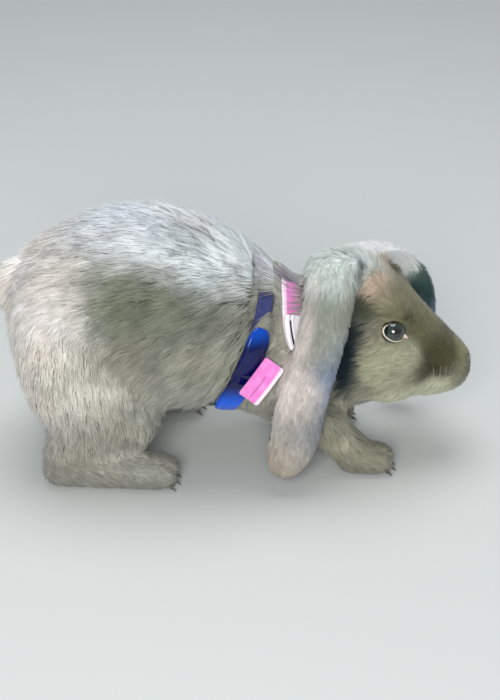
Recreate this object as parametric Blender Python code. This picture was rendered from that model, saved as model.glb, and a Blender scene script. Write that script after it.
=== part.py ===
"""A lop-eared rabbit on four feet, with a neck strap, a girth strap and a buckle.

Metres, +Z up, nose along +X, floor at z = 0. The rabbit's right side is at -Y.
The body is one smooth mass out to the tips of its coat, parted into named pieces by thin cuts.
"""
import math

import bmesh
import bpy
from mathutils import Matrix, Vector
from mathutils.bvhtree import BVHTree

# ---------------------------------------------------------------- driving dimensions
GAP = 0.0003            # space between neighbouring pieces
VOXEL = 0.0030          # grain at which the body's masses are fused
TORSO_PASSES = 40       # smoothing passes over the fused torso
BODY_PASSES = 8         # smoothing passes over torso, head and limbs together
BODY_TRIANGLES = 2600   # triangles of the whole body before it is parted
SOFTENING = 0.5         # how far each smoothing pass moves a point towards its neighbours
SHARP_ANGLE = math.radians(40)   # edges sharper than this stay crisp

# Trunk, from rump to chest: x, top of back, underline, half width
TRUNK = [
    (-0.1560, 0.1300, 0.0980, 0.0160),
    (-0.1480, 0.1500, 0.0700, 0.0400),
    (-0.1220, 0.1700, 0.0520, 0.0590),
    (-0.0900, 0.1820, 0.0460, 0.0660),
    (-0.0550, 0.1860, 0.0430, 0.0680),
    (-0.0200, 0.1770, 0.0420, 0.0650),
    (0.0100, 0.1580, 0.0410, 0.0590),
    (0.0400, 0.1350, 0.0420, 0.0490),
    (0.0650, 0.1240, 0.0500, 0.0370),
    (0.0780, 0.1140, 0.0640, 0.0220),
]

# Skull and muzzle, from nape to nose: x, top, underline, half width
HEAD = [
    (0.0560, 0.1330, 0.0860, 0.0220),
    (0.0680, 0.1480, 0.0720, 0.0310),
    (0.0850, 0.1520, 0.0580, 0.0345),
    (0.1010, 0.1450, 0.0490, 0.0335),
    (0.1160, 0.1320, 0.0450, 0.0305),
    (0.1310, 0.1150, 0.0440, 0.0265),
    (0.1440, 0.1005, 0.0455, 0.0230),
    (0.1550, 0.0890, 0.0490, 0.0185),
    (0.1630, 0.0805, 0.0550, 0.0115),
    (0.1655, 0.0765, 0.0610, 0.0060),
]

# Rounded masses, one for each side: centre x, y, z, then radii x, y, z
HAUNCH = ((-0.0990, 0.0390, 0.0880), (0.0500, 0.0310, 0.0600))
SHOULDER = ((0.0180, 0.0340, 0.0850), (0.0320, 0.0230, 0.0390))
KNEE = ((-0.0760, 0.0480, 0.0520), (0.0270, 0.0170, 0.0260))
CHEEK = ((0.1060, 0.0190, 0.0780), (0.0320, 0.0200, 0.0300))
BROW = ((0.1030, 0.0190, 0.1180), (0.0200, 0.0140, 0.0150))
LIP = ((0.1500, 0.0090, 0.0660), (0.0130, 0.0110, 0.0130))

# Masses on the middle plane
CHEST = ((0.0480, 0.0, 0.0760), (0.0400, 0.0370, 0.0400))
NECK = ((0.0570, 0.0, 0.0980), (0.0330, 0.0360, 0.0330))
CROWN = ((0.0790, 0.0, 0.1380), (0.0230, 0.0330, 0.0160))
CHIN = ((0.1360, 0.0, 0.0560), (0.0190, 0.0160, 0.0120))
THROAT = ((0.0780, 0.0, 0.0640), (0.0300, 0.0290, 0.0280))

# Limbs, as paths down to the toes: x, y, z, half width, half height
HIND_LEG = [
    (-0.0760, 0.0470, 0.0560, 0.0170, 0.0240),
    (-0.0960, 0.0480, 0.0400, 0.0170, 0.0220),
    (-0.1140, 0.0480, 0.0270, 0.0150, 0.0180),
    (-0.1240, 0.0470, 0.0170, 0.0130, 0.0150),
]
HIND_FOOT = [
    (-0.1340, 0.0465, 0.0130, 0.0090, 0.0100),
    (-0.1260, 0.0470, 0.0130, 0.0135, 0.0150),
    (-0.1000, 0.0480, 0.0120, 0.0145, 0.0145),
    (-0.0700, 0.0495, 0.0115, 0.0155, 0.0135),
    (-0.0500, 0.0500, 0.0105, 0.0160, 0.0125),
    (-0.0390, 0.0500, 0.0090, 0.0110, 0.0100),
]
FORE_LEG = [
    (0.0170, 0.0300, 0.0740, 0.0170, 0.0230),
    (0.0370, 0.0320, 0.0560, 0.0165, 0.0210),
    (0.0570, 0.0330, 0.0410, 0.0150, 0.0180),
    (0.0720, 0.0330, 0.0280, 0.0130, 0.0150),
    (0.0820, 0.0330, 0.0160, 0.0125, 0.0130),
]
FORE_PAW = [
    (0.0720, 0.0330, 0.0130, 0.0090, 0.0090),
    (0.0800, 0.0330, 0.0115, 0.0125, 0.0130),
    (0.0940, 0.0330, 0.0105, 0.0135, 0.0125),
    (0.1050, 0.0330, 0.0095, 0.0128, 0.0112),
    (0.1120, 0.0330, 0.0080, 0.0085, 0.0080),
]
FAR_FORE_STEP = -0.0240   # the left foreleg stands this much further back
FAR_HIND_STEP = 0.0160    # the left hind leg stands this much further forward

# Ears, as paths from crown to tip: x, y, z, half width, half thickness
NEAR_EAR = [
    (0.0740, -0.0060, 0.1430, 0.0150, 0.0090),
    (0.0690, -0.0170, 0.1560, 0.0205, 0.0110),
    (0.0640, -0.0325, 0.1520, 0.0200, 0.0118),
    (0.0605, -0.0470, 0.1275, 0.0180, 0.0095),
    (0.0525, -0.0555, 0.0970, 0.0178, 0.0070),
    (0.0450, -0.0605, 0.0710, 0.0188, 0.0060),
    (0.0405, -0.0630, 0.0460, 0.0188, 0.0055),
    (0.0350, -0.0645, 0.0260, 0.0150, 0.0050),
    (0.0320, -0.0650, 0.0150, 0.0080, 0.0040),
]
FAR_EAR = [
    (0.0790, 0.0070, 0.1370, 0.0120, 0.0075),
    (0.0880, 0.0190, 0.1440, 0.0165, 0.0085),
    (0.1040, 0.0325, 0.1370, 0.0185, 0.0090),
    (0.1190, 0.0430, 0.1170, 0.0190, 0.0080),
    (0.1270, 0.0490, 0.0930, 0.0190, 0.0068),
    (0.1270, 0.0530, 0.0690, 0.0198, 0.0060),
    (0.1230, 0.0550, 0.0450, 0.0190, 0.0055),
    (0.1170, 0.0560, 0.0260, 0.0148, 0.0050),
    (0.1130, 0.0565, 0.0150, 0.0078, 0.0040),
]

EYE_CENTRE = (0.1070, 0.0275, 0.1090)
EYE_RADIUS = 0.0085
TAIL = ((-0.1530, 0.0, 0.1260), (0.0140, 0.0150, 0.0200))
TAIL_TILT = math.radians(-25)

# Harness straps: x across the top, height below which the strap leans, its lean, and its width
NECK_STRAP = {"top_x": 0.0405, "bend_z": 0.1120, "lean": 0.48, "width": 0.0160, "centre_z": 0.0960}
GIRTH_STRAP = {"top_x": 0.0240, "bend_z": 0.1370, "lean": -0.40, "width": 0.0110, "centre_z": 0.0950}
STRAP_THICKNESS = 0.0016
STRAP_SINK = 0.0016     # how far a strap's outer face lies below the tips of the coat
STRAP_STATIONS = 30
STRAP_EVENING = 3       # passes that even out a strap's path
STRAP_SETTLING = 5      # rays cast in turn until a leaning strap's place agrees with its height
GROOVE_DEPTH_OUT = 0.0100

# Plastic fittings and the tab, on the right side: height at the top and bottom, half width, half thickness
SLIDER = {"top_z": 0.1210, "low_z": 0.1040, "half_width": 0.0092, "half_thickness": 0.0021}
BUCKLE = {"top_z": 0.1210, "low_z": 0.0570, "half_width": 0.0080, "half_thickness": 0.0031}
BUCKLE_WAIST = 0.80     # width at the joint between the buckle's halves, as a share of its full width
FITTING_LIFT = 0.0009   # space between a strap and a fitting on it
FLAT_SIDE = 0.45        # height of a flat section's straight side, as a share of its thickness
FLAT_FACE = 0.765       # width of a flat section's straight face, as a share of its width
TAB_START = (0.0270, 0.1010)   # x, z at the slider
TAB_END = (0.0095, 0.0795)     # x, z at the free end
TAB_HALF_WIDTH = 0.0080
TAB_HALF_THICKNESS = 0.0014
TAB_START_OFF = 0.0042  # how far the tab's middle stands off the torso at its start
TAB_END_OFF = 0.0105    # and at its free end
TAB_STATIONS = 6

# Cuts between body pieces, as outlines in the X-Z plane, run anticlockwise seen from -Y
HIND_CUT = [(-0.180, -0.010), (-0.020, -0.010), (-0.020, 0.032), (-0.046, 0.056), (-0.058, 0.090),
            (-0.076, 0.120), (-0.104, 0.136), (-0.132, 0.130), (-0.180, 0.112)]
HIND_CUT_Y = 0.0290
FORE_CUT = [(-0.006, -0.010), (0.140, -0.010), (0.140, 0.033), (0.092, 0.042), (0.070, 0.062),
            (0.052, 0.088), (0.032, 0.100), (0.010, 0.092), (0.000, 0.070), (-0.006, 0.040)]
FORE_CUT_Y = 0.0130
FOOT_CUT = [(-0.180, -0.020), (0.000, -0.020), (0.000, 0.018), (-0.080, 0.026), (-0.180, 0.034)]
PAW_CUT = [(0.030, -0.020), (0.150, -0.020), (0.150, 0.030), (0.100, 0.030), (0.030, 0.010)]
HEAD_CUT = [(0.058, 0.200), (0.058, 0.120), (0.066, 0.086), (0.082, 0.060), (0.100, 0.041),
            (0.200, 0.030), (0.200, 0.200)]
NECK_CUT = [(0.0335, 0.200), (0.0335, 0.000), (0.140, 0.000), (0.140, 0.200)]
BODY_REACH = 0.2000     # beyond every surface of the rabbit
BELOW_FLOOR = [(-BODY_REACH, -BODY_REACH), (BODY_REACH, -BODY_REACH), (BODY_REACH, 0.0), (-BODY_REACH, 0.0)]

# Colours
COAT_GREY = (0.30, 0.31, 0.30)
LEG_GREY = (0.27, 0.28, 0.26)
EAR_GREY = (0.34, 0.33, 0.31)
TAIL_GREY = (0.45, 0.45, 0.44)
EYE_BROWN = (0.03, 0.025, 0.02)
PINK_WEBBING = (0.86, 0.22, 0.55)
NAVY_WEBBING = (0.02, 0.03, 0.16)
BLUE_PLASTIC = (0.02, 0.07, 0.40)
WHITE_PLASTIC = (0.80, 0.80, 0.82)


# ---------------------------------------------------------------- scene, objects and materials
def clear_scene():
    for old in list(bpy.data.objects):
        bpy.data.objects.remove(old, do_unlink=True)


def material(name, colour, roughness, metallic=0.0):
    made = bpy.data.materials.new(name)
    made.use_nodes = True
    shader = made.node_tree.nodes["Principled BSDF"]
    shader.inputs["Base Color"].default_value = (*colour, 1.0)
    shader.inputs["Roughness"].default_value = roughness
    shader.inputs["Metallic"].default_value = metallic
    return made


def add_object(name, shape, finish=None):
    """Put a bmesh into the scene as an object whose faces point out."""
    bmesh.ops.recalc_face_normals(shape, faces=shape.faces)
    mesh = bpy.data.meshes.new(name)
    shape.to_mesh(mesh)
    shape.free()
    made = bpy.data.objects.new(name, mesh)
    bpy.context.collection.objects.link(made)
    if finish is not None:
        mesh.materials.append(finish)
    return made


def as_cutter(made):
    made.hide_render = True
    made.display_type = "WIRE"
    return made


def bake_modifiers(made):
    """Replace an object's mesh with what its modifiers make of it."""
    graph = bpy.context.evaluated_depsgraph_get()
    mesh = bpy.data.meshes.new_from_object(made.evaluated_get(graph))
    made.modifiers.clear()
    made.data = mesh


def boolean(made, cutter, operation):
    step = made.modifiers.new(operation.lower(), "BOOLEAN")
    step.operation = operation
    step.object = cutter
    bake_modifiers(made)


def copy_of(made, name):
    twin = made.copy()
    twin.data = made.data.copy()
    twin.name = name
    bpy.context.collection.objects.link(twin)
    return twin


def discard(made):
    bpy.data.objects.remove(made, do_unlink=True)


# ---------------------------------------------------------------- shapes
def catmull(before, start, end, after, t):
    return 0.5 * (2.0 * start + (end - before) * t
                  + (2.0 * before - 5.0 * start + 4.0 * end - after) * t * t
                  + (3.0 * start - before - 3.0 * end + after) * t * t * t)


def smooth_rows(rows, per_span):
    """Rows of numbers joined by a smooth curve, with per_span steps from each row to the next."""
    padded = [rows[0], *rows, rows[-1]]
    result = []
    for span in zip(padded, padded[1:], padded[2:], padded[3:]):
        for step in range(per_span):
            t = step / per_span
            result.append([catmull(*values, t) for values in zip(*span)])
    result.append(list(rows[-1]))
    return result


def add_rings(shape, rings):
    """Join closed rings of points into one skin with a flat cap at each end."""
    made = [[shape.verts.new(point) for point in ring] for ring in rings]
    count = len(made[0])
    for low, high in zip(made, made[1:]):
        for i in range(count):
            j = (i + 1) % count
            shape.faces.new((low[i], low[j], high[j]))
            shape.faces.new((low[i], high[j], high[i]))
    shape.faces.new(reversed(made[0]))
    shape.faces.new(made[-1])


def ring_points(centre, side, other, half_side, half_other, count):
    angles = [2.0 * math.pi * i / count for i in range(count)]
    return [centre + side * (half_side * math.cos(a)) + other * (half_other * math.sin(a)) for a in angles]


def add_barrel(shape, rows, count=28, per_span=4):
    """A body along X from rows of x, top, underline and half width."""
    rings = []
    for x, top, low, half_width in smooth_rows(rows, per_span):
        centre = Vector((x, 0.0, (top + low) / 2.0))
        half_height = (top - low) / 2.0
        rings.append(ring_points(centre, Vector((0, 1, 0)), Vector((0, 0, 1)), half_width, half_height, count))
    add_rings(shape, rings)


def add_tube(shape, rows, side, count=18, per_span=3, grow=0.0):
    """A limb or ear along a path of x, y, z, half width along side, and half thickness."""
    path = smooth_rows(rows, per_span)
    centres = [Vector(row[:3]) for row in path]
    if grow:
        centres[0] -= (centres[1] - centres[0]).normalized() * grow
        centres[-1] += (centres[-1] - centres[-2]).normalized() * grow
    rings = []
    for i, row in enumerate(path):
        ahead = centres[min(i + 1, len(path) - 1)]
        behind = centres[max(i - 1, 0)]
        run = (ahead - behind).normalized()
        across = (side - run * side.dot(run)).normalized()
        through = run.cross(across)
        rings.append(ring_points(centres[i], across, through, row[3] + grow, row[4] + grow, count))
    add_rings(shape, rings)


def add_ball(shape, centre, radii, tilt=0.0, segments=24, grow=0.0):
    """An ellipsoid, tilted about the Y axis."""
    size = [radius + grow for radius in radii]
    place = Matrix.Translation(Vector(centre)) @ Matrix.Rotation(tilt, 4, "Y") @ Matrix.Diagonal((*size, 1.0))
    bmesh.ops.create_uvsphere(shape, u_segments=segments, v_segments=segments // 2, radius=1.0, matrix=place)


def mirrored(row, sign, step=0.0):
    """A left-side row of numbers moved to the side that sign gives, and shifted along X."""
    return (row[0] + step, row[1] * sign, *row[2:])


def offset_outline(outline, distance):
    """An anticlockwise outline with each edge moved out by a distance."""
    count = len(outline)
    result = []
    for i in range(count):
        here = Vector(outline[i])
        run_in = (here - Vector(outline[i - 1])).normalized()
        run_out = (Vector(outline[(i + 1) % count]) - here).normalized()
        normal_in = Vector((run_in.y, -run_in.x))
        normal_out = Vector((run_out.y, -run_out.x))
        corner = (normal_in + normal_out) / (1.0 + normal_in.dot(normal_out))
        result.append(here + corner * distance)
    return result


def prism(name, outline, y_low, y_high, grow=0.0):
    """A cutter with an outline in the X-Z plane, from y_low to y_high."""
    shape = bmesh.new()
    points = offset_outline(outline, grow)
    near = [Vector((point[0], y_low - grow, point[1])) for point in points]
    far = [Vector((point[0], y_high + grow, point[1])) for point in points]
    add_rings(shape, [near, far])
    return as_cutter(add_object(name, shape))


# ---------------------------------------------------------------- the whole body, out to the coat's tips
def add_torso(shape):
    add_barrel(shape, TRUNK)
    for centre, radii in (CHEST, NECK):
        add_ball(shape, centre, radii)
    for sign in (-1, 1):
        for centre, radii in (HAUNCH, SHOULDER):
            add_ball(shape, mirrored(centre, sign), radii)


def add_head_and_limbs(shape):
    add_barrel(shape, HEAD)
    for centre, radii in (CROWN, CHIN, THROAT):
        add_ball(shape, centre, radii)
    along = Vector((0, 1, 0))
    for sign, fore_step, hind_step in ((-1, 0.0, 0.0), (1, FAR_FORE_STEP, FAR_HIND_STEP)):
        for centre, radii in (CHEEK, BROW, LIP):
            add_ball(shape, mirrored(centre, sign), radii)
        add_ball(shape, mirrored(KNEE[0], sign, hind_step / 2.0), KNEE[1])
        for limb, step in ((HIND_LEG, hind_step), (HIND_FOOT, hind_step), (FORE_LEG, fore_step),
                           (FORE_PAW, fore_step)):
            add_tube(shape, [mirrored(row, sign, step) for row in limb], along)


def fuse(made, passes):
    """Fuse overlapping masses into one even skin and soften it."""
    remesh = made.modifiers.new("fuse", "REMESH")
    remesh.mode = "VOXEL"
    remesh.voxel_size = VOXEL
    soften = made.modifiers.new("soften", "SMOOTH")
    soften.factor = SOFTENING
    soften.iterations = passes
    bake_modifiers(made)


def thin_out(made, triangles):
    thin = made.modifiers.new("thin", "DECIMATE")
    thin.ratio = triangles / (2.0 * len(made.data.polygons))
    bake_modifiers(made)


def whole_body():
    """The body as one mass, with the soles cut flat at the floor, and its torso as a tree for rays."""
    shape = bmesh.new()
    add_torso(shape)
    torso = add_object("torso", shape)
    fuse(torso, TORSO_PASSES)
    shape = bmesh.new()
    shape.from_mesh(torso.data)
    torso_tree = BVHTree.FromBMesh(shape)
    discard(torso)
    add_head_and_limbs(shape)
    body = add_object("trunk", shape, material("trunk_coat", COAT_GREY, 0.9))
    fuse(body, BODY_PASSES)
    thin_out(body, BODY_TRIANGLES)
    below = prism("below", BELOW_FLOOR, -BODY_REACH, BODY_REACH)
    boolean(body, below, "DIFFERENCE")
    discard(below)
    return body, torso_tree


# ---------------------------------------------------------------- harness
def strap_path(tree, strap):
    """Places round the body on a strap's outer face, each with the direction out of the coat."""
    places = []
    for i in range(STRAP_STATIONS):
        angle = 2.0 * math.pi * i / STRAP_STATIONS
        ray = Vector((0.0, math.cos(angle), math.sin(angle)))
        hit = Vector((0.0, 0.0, strap["centre_z"]))
        for _ in range(STRAP_SETTLING):
            x = strap["top_x"] + strap["lean"] * max(0.0, strap["bend_z"] - hit.z)
            start = Vector((x, 0.0, strap["centre_z"])) + ray * BODY_REACH
            hit, normal, _, _ = tree.ray_cast(start, -ray)
        places.append((hit, normal))
    for _ in range(STRAP_EVENING):
        places = [evened(places, i) for i in range(len(places))]
    return [(point - out * STRAP_SINK, out) for point, out in places]


def evened(places, i):
    """A place on a closed path, drawn halfway to the mean of its neighbours."""
    before, here, after = places[i - 1], places[i], places[(i + 1) % len(places)]
    point = (before[0] + here[0] * 2.0 + after[0]) / 4.0
    out = (before[1] + here[1] * 2.0 + after[1]).normalized()
    return point, out


def add_band(shape, path, half_width, outward, inward):
    """A closed strap round the body, from inward below its path to outward above it."""
    rings = []
    count = len(path)
    for i in range(count):
        point, out = path[i]
        run = (path[(i + 1) % count][0] - path[i - 1][0]).normalized()
        out = (out - run * out.dot(run)).normalized()
        across = run.cross(out)
        high = point + out * outward
        low = point - out * inward
        rings.append([high + across * half_width, high - across * half_width,
                      low - across * half_width, low + across * half_width])
    made = [[shape.verts.new(corner) for corner in ring] for ring in rings]
    for i in range(count):
        here, following = made[i], made[(i + 1) % count]
        for a in range(4):
            b = (a + 1) % 4
            shape.faces.new((here[a], here[b], following[b]))
            shape.faces.new((here[a], following[b], following[a]))


def strap_band(name, path, strap, finish, grow=0.0, outward=0.0):
    shape = bmesh.new()
    add_band(shape, path, strap["width"] / 2.0 + grow, outward, STRAP_THICKNESS + grow)
    return add_object(name, shape, finish)


def place_at(path, z):
    """The place on the right side of a strap's path at a given height."""
    count = len(path)
    for i in range(count):
        (low, low_out), (high, high_out) = path[i], path[(i + 1) % count]
        if low.y < 0.0 and high.y < 0.0 and min(low.z, high.z) <= z <= max(low.z, high.z):
            share = (z - low.z) / (high.z - low.z)
            return low.lerp(high, share), low_out.lerp(high_out, share).normalized()
    raise ValueError(f"the strap never reaches the height {z}")


def flat_ring(centre, across, out, half_width, half_thickness):
    """A flat section with rounded corners."""
    corners = [(1.0, FLAT_SIDE), (FLAT_FACE, 1.0), (-FLAT_FACE, 1.0), (-1.0, FLAT_SIDE),
               (-1.0, -FLAT_SIDE), (-FLAT_FACE, -1.0), (FLAT_FACE, -1.0), (1.0, -FLAT_SIDE)]
    return [centre + across * (half_width * a) + out * (half_thickness * b) for a, b in corners]


def add_fitting(shape, path, fitting, widths, grow=0.0):
    """A moulded fitting that rides on a strap, with its width given station by station."""
    places = [place_at(path, fitting["top_z"] + (fitting["low_z"] - fitting["top_z"]) * i / (len(widths) - 1))
              for i in range(len(widths))]
    rings = []
    for i, (point, out) in enumerate(places):
        run = (places[min(i + 1, len(places) - 1)][0] - places[max(i - 1, 0)][0]).normalized()
        out = (out - run * out.dot(run)).normalized()
        half_thickness = fitting["half_thickness"]
        centre = point + out * (FITTING_LIFT + half_thickness)
        rings.append(flat_ring(centre, run.cross(out), out, fitting["half_width"] * widths[i] + grow,
                               half_thickness + grow))
    add_rings(shape, rings)


def buckle_widths():
    """Round ends, full halves, and a waist where the halves meet."""
    return [0.55, 0.86, 1.0, 1.0, BUCKLE_WAIST, 1.0, 1.0, 1.0, 0.90, 0.55]


def tab_rings(tree, grow=0.0):
    """The pink tab's sections, from the slider back and down over the coat."""
    start, end = Vector(TAB_START), Vector(TAB_END)
    centres = []
    for i in range(TAB_STATIONS):
        share = i / (TAB_STATIONS - 1)
        flat = start.lerp(end, share)
        hit, _, _, _ = tree.ray_cast(Vector((flat.x, -BODY_REACH, flat.y)), Vector((0, 1, 0)))
        off = TAB_START_OFF + (TAB_END_OFF - TAB_START_OFF) * share
        centres.append(hit - Vector((0, off, 0)))
    rings = []
    for i, centre in enumerate(centres):
        run = (centres[min(i + 1, TAB_STATIONS - 1)] - centres[max(i - 1, 0)]).normalized()
        across = run.cross(Vector((0, -1, 0))).normalized()
        out = across.cross(run).normalized()
        rings.append(flat_ring(centre, across, out, TAB_HALF_WIDTH + grow, TAB_HALF_THICKNESS + grow))
    return rings


def make_harness(body, tree):
    """Straps and fittings, and the grooves that they press in the coat."""
    neck_path = strap_path(tree, NECK_STRAP)
    girth_path = strap_path(tree, GIRTH_STRAP)
    pink = material("pink_webbing", PINK_WEBBING, 0.7)
    navy = material("navy_webbing", NAVY_WEBBING, 0.7)
    for name, path, strap, finish in (("neck_strap", neck_path, NECK_STRAP, pink),
                                      ("girth_strap", girth_path, GIRTH_STRAP, navy)):
        strap_band(name, path, strap, finish)
        groove = as_cutter(strap_band("groove", path, strap, None, GAP, GROOVE_DEPTH_OUT))
        boolean(body, groove, "DIFFERENCE")
        discard(groove)
    fittings = (("strap_slider", neck_path, SLIDER, [0.92, 1.0, 1.0, 0.92], "white_plastic", WHITE_PLASTIC),
                ("girth_buckle", girth_path, BUCKLE, buckle_widths(), "blue_plastic", BLUE_PLASTIC))
    for name, path, fitting, widths, finish_name, colour in fittings:
        shape = bmesh.new()
        add_fitting(shape, path, fitting, widths)
        add_object(name, shape, material(finish_name, colour, 0.25))
        shape = bmesh.new()
        add_fitting(shape, path, fitting, widths, GAP)
        cut_away(body, shape)
    shape = bmesh.new()
    add_rings(shape, tab_rings(tree))
    add_object("strap_tab", shape, material("pink_tab", PINK_WEBBING, 0.7))
    shape = bmesh.new()
    add_rings(shape, tab_rings(tree, GAP))
    cut_away(body, shape)


# ---------------------------------------------------------------- ears, eyes and tail
def cut_away(body, shape):
    cutter = as_cutter(add_object("cutter", shape))
    boolean(body, cutter, "DIFFERENCE")
    discard(cutter)


def make_ears(body):
    along = Vector((1, 0, 0))
    for name, rows in (("ear_right", NEAR_EAR), ("ear_left", FAR_EAR)):
        shape = bmesh.new()
        add_tube(shape, rows, along, count=14, per_span=2)
        add_object(name, shape, material(name + "_coat", EAR_GREY, 0.9))
        shape = bmesh.new()
        add_tube(shape, rows, along, count=14, per_span=2, grow=GAP)
        cut_away(body, shape)


def make_eyes(body):
    for name, sign in (("eye_right", -1), ("eye_left", 1)):
        centre = mirrored(EYE_CENTRE, sign)
        shape = bmesh.new()
        add_ball(shape, centre, (EYE_RADIUS,) * 3, segments=14)
        add_object(name, shape, material(name + "_gloss", EYE_BROWN, 0.05))
        shape = bmesh.new()
        add_ball(shape, centre, (EYE_RADIUS,) * 3, segments=14, grow=GAP)
        cut_away(body, shape)


def make_tail(body):
    shape = bmesh.new()
    add_ball(shape, *TAIL, tilt=TAIL_TILT, segments=14)
    add_object("tail", shape, material("tail_coat", TAIL_GREY, 0.9))
    shape = bmesh.new()
    add_ball(shape, *TAIL, tilt=TAIL_TILT, segments=14, grow=GAP)
    cut_away(body, shape)


# ---------------------------------------------------------------- parting the body
def keep_largest(made):
    """Drop the crumbs that a cut leaves beside the main piece."""
    shape = bmesh.new()
    shape.from_mesh(made.data)
    unseen = set(shape.verts)
    islands = []
    while unseen:
        front = [unseen.pop()]
        island = set(front)
        while front:
            vert = front.pop()
            for edge in vert.link_edges:
                other = edge.other_vert(vert)
                if other in unseen:
                    unseen.discard(other)
                    island.add(other)
                    front.append(other)
        islands.append(island)
    islands.sort(key=len)
    crumbs = [vert for island in islands[:-1] for vert in island]
    bmesh.ops.delete(shape, geom=crumbs, context="VERTS")
    shape.to_mesh(made.data)
    shape.free()


def part_off(rest, name, outline, y_low, y_high, colour):
    """Take the part of rest inside a prism as its own piece, with a thin gap round it."""
    piece = copy_of(rest, name)
    piece.data.materials.clear()
    piece.data.materials.append(material(name + "_coat", colour, 0.9))
    region = prism("region", outline, y_low, y_high)
    boolean(piece, region, "INTERSECT")
    discard(region)
    region = prism("region", outline, y_low, y_high, GAP)
    boolean(rest, region, "DIFFERENCE")
    discard(region)
    keep_largest(piece)
    return piece


def moved(outline, step):
    return [(x + step, z) for x, z in outline]


def part_limbs(body):
    sides = (("right", -1, 0.0, 0.0), ("left", 1, FAR_FORE_STEP, FAR_HIND_STEP))
    for side, sign, fore_step, hind_step in sides:
        limbs = (("hind_leg_", HIND_CUT, HIND_CUT_Y, "hind_foot_", FOOT_CUT, hind_step),
                 ("foreleg_", FORE_CUT, FORE_CUT_Y, "forepaw_", PAW_CUT, fore_step))
        for leg_name, leg_cut, inner_y, foot_name, foot_cut, step in limbs:
            low_y, high_y = sorted((sign * inner_y, sign * BODY_REACH))
            leg = part_off(body, leg_name + side, moved(leg_cut, step / 2.0), low_y, high_y, LEG_GREY)
            part_off(leg, foot_name + side, moved(foot_cut, step), -BODY_REACH, BODY_REACH, LEG_GREY)
            keep_largest(leg)


def part_head_and_neck(body):
    part_off(body, "head", HEAD_CUT, -BODY_REACH, BODY_REACH, COAT_GREY)
    part_off(body, "neck", NECK_CUT, -BODY_REACH, BODY_REACH, COAT_GREY)
    keep_largest(body)


def shade_smooth(pieces):
    for made in pieces:
        made.data.shade_smooth()
        made.data.set_sharp_from_angle(angle=SHARP_ANGLE)


def centre_on_origin(pieces):
    """Put the middle of the rabbit's box over the origin."""
    corners = [made.matrix_world @ vert.co for made in pieces for vert in made.data.vertices]
    shift = Vector((0.0, 0.0, 0.0))
    for axis in (0, 1):
        values = [corner[axis] for corner in corners]
        shift[axis] = -(min(values) + max(values)) / 2.0
    for made in pieces:
        made.data.transform(Matrix.Translation(shift))


def main():
    clear_scene()
    body, torso_tree = whole_body()
    make_harness(body, torso_tree)
    make_ears(body)
    make_eyes(body)
    make_tail(body)
    part_limbs(body)
    part_head_and_neck(body)
    pieces = [made for made in bpy.data.objects if made.type == "MESH"]
    centre_on_origin(pieces)
    shade_smooth(pieces)


main()
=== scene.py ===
"""The looks of a life-size lop-eared rabbit in a harness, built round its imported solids.

Metres, +Z up, nose along +X, the rabbit's right side at -Y, as in the solids.
One skin lies inside the flesh solids by the depth of the coat. The coat is closed mesh tufts that
grow from the skin, lie along the body and end near the solids' outline.
"""
import math

import bmesh
import bpy
import numpy as np
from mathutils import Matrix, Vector
from mathutils.bvhtree import BVHTree
from mathutils.kdtree import KDTree


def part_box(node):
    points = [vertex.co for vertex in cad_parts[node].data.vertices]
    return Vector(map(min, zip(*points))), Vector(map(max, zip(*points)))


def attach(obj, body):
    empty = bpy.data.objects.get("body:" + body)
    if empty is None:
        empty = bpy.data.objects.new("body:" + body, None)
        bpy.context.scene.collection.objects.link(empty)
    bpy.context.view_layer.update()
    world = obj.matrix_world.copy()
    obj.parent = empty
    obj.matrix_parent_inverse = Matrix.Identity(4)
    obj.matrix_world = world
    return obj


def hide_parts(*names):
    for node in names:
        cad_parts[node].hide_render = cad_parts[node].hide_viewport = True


SEED = 11
SIDES = (-1.0, 1.0)
FAR = 9.0                # stands for a distance that is out of reach
FLOOR_CLEAR = 0.0001     # lowest place of tufts, claws, whiskers and stitches


# ---------------------------------------------------------------- small helpers
def smoothstep(low, high, value):
    t = np.clip((value - low) / (high - low), 0.0, 1.0)
    return t * t * (3.0 - 2.0 * t)


def unit(vectors):
    return vectors / np.maximum(np.linalg.norm(vectors, axis=-1, keepdims=True), 1e-12)


def dots(first, second):
    """The products of two rows of vectors, as a column."""
    return np.sum(first * second, axis=1, keepdims=True)


def laid(ways, normals):
    """Directions turned into the surface with these normals."""
    return unit(ways - normals * dots(ways, normals))


def distance_to(points, centre, radii=1.0):
    """Distances from a place, in shares of some radii where they are given."""
    return np.linalg.norm((points - np.array(centre)) / np.array(radii), axis=1)


def toward(values, goal, share):
    """Rows of values moved towards a goal, each by its own share."""
    return values + (goal - values) * share[:, None]


def turns(count):
    """Angles evenly round a circle."""
    return np.linspace(0.0, 2.0 * math.pi, count, endpoint=False)


def linear(red, green, blue):
    """A colour given as screen values from 0 to 255, in linear light."""
    shares = np.array([red, green, blue]) / 255.0
    return np.where(shares <= 0.04045, shares / 12.92, ((shares + 0.055) / 1.055) ** 2.4)


# ---------------------------------------------------------------- camera, light and floor
AIM = Vector((0.0119, 0.0, 0.0784))      # the point that the camera and the lamps look at
ELEVATION = math.radians(30.0)
DISTANCE = 1.2
FRAME_HEIGHT = 0.49                      # height of the view at that distance
SENSOR = 36.0
SKY_COLOUR = (0.86, 0.92, 1.0, 1.0)
SKY_STRENGTH = 0.42
FLOOR_COLOUR = (0.56, 0.58, 0.56, 1.0)
LAMPS = (
    # name, place, size, power, colour
    ("overhead", (0.0, 0.25, 1.5), 1.1, 13.0, (0.96, 0.98, 1.0)),
    ("front", (-0.15, -1.6, 0.95), 0.8, 27.0, (1.0, 0.99, 0.97)),
)


def link(name, data):
    made = bpy.data.objects.new(name, data)
    bpy.context.scene.collection.objects.link(made)
    return made


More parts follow.
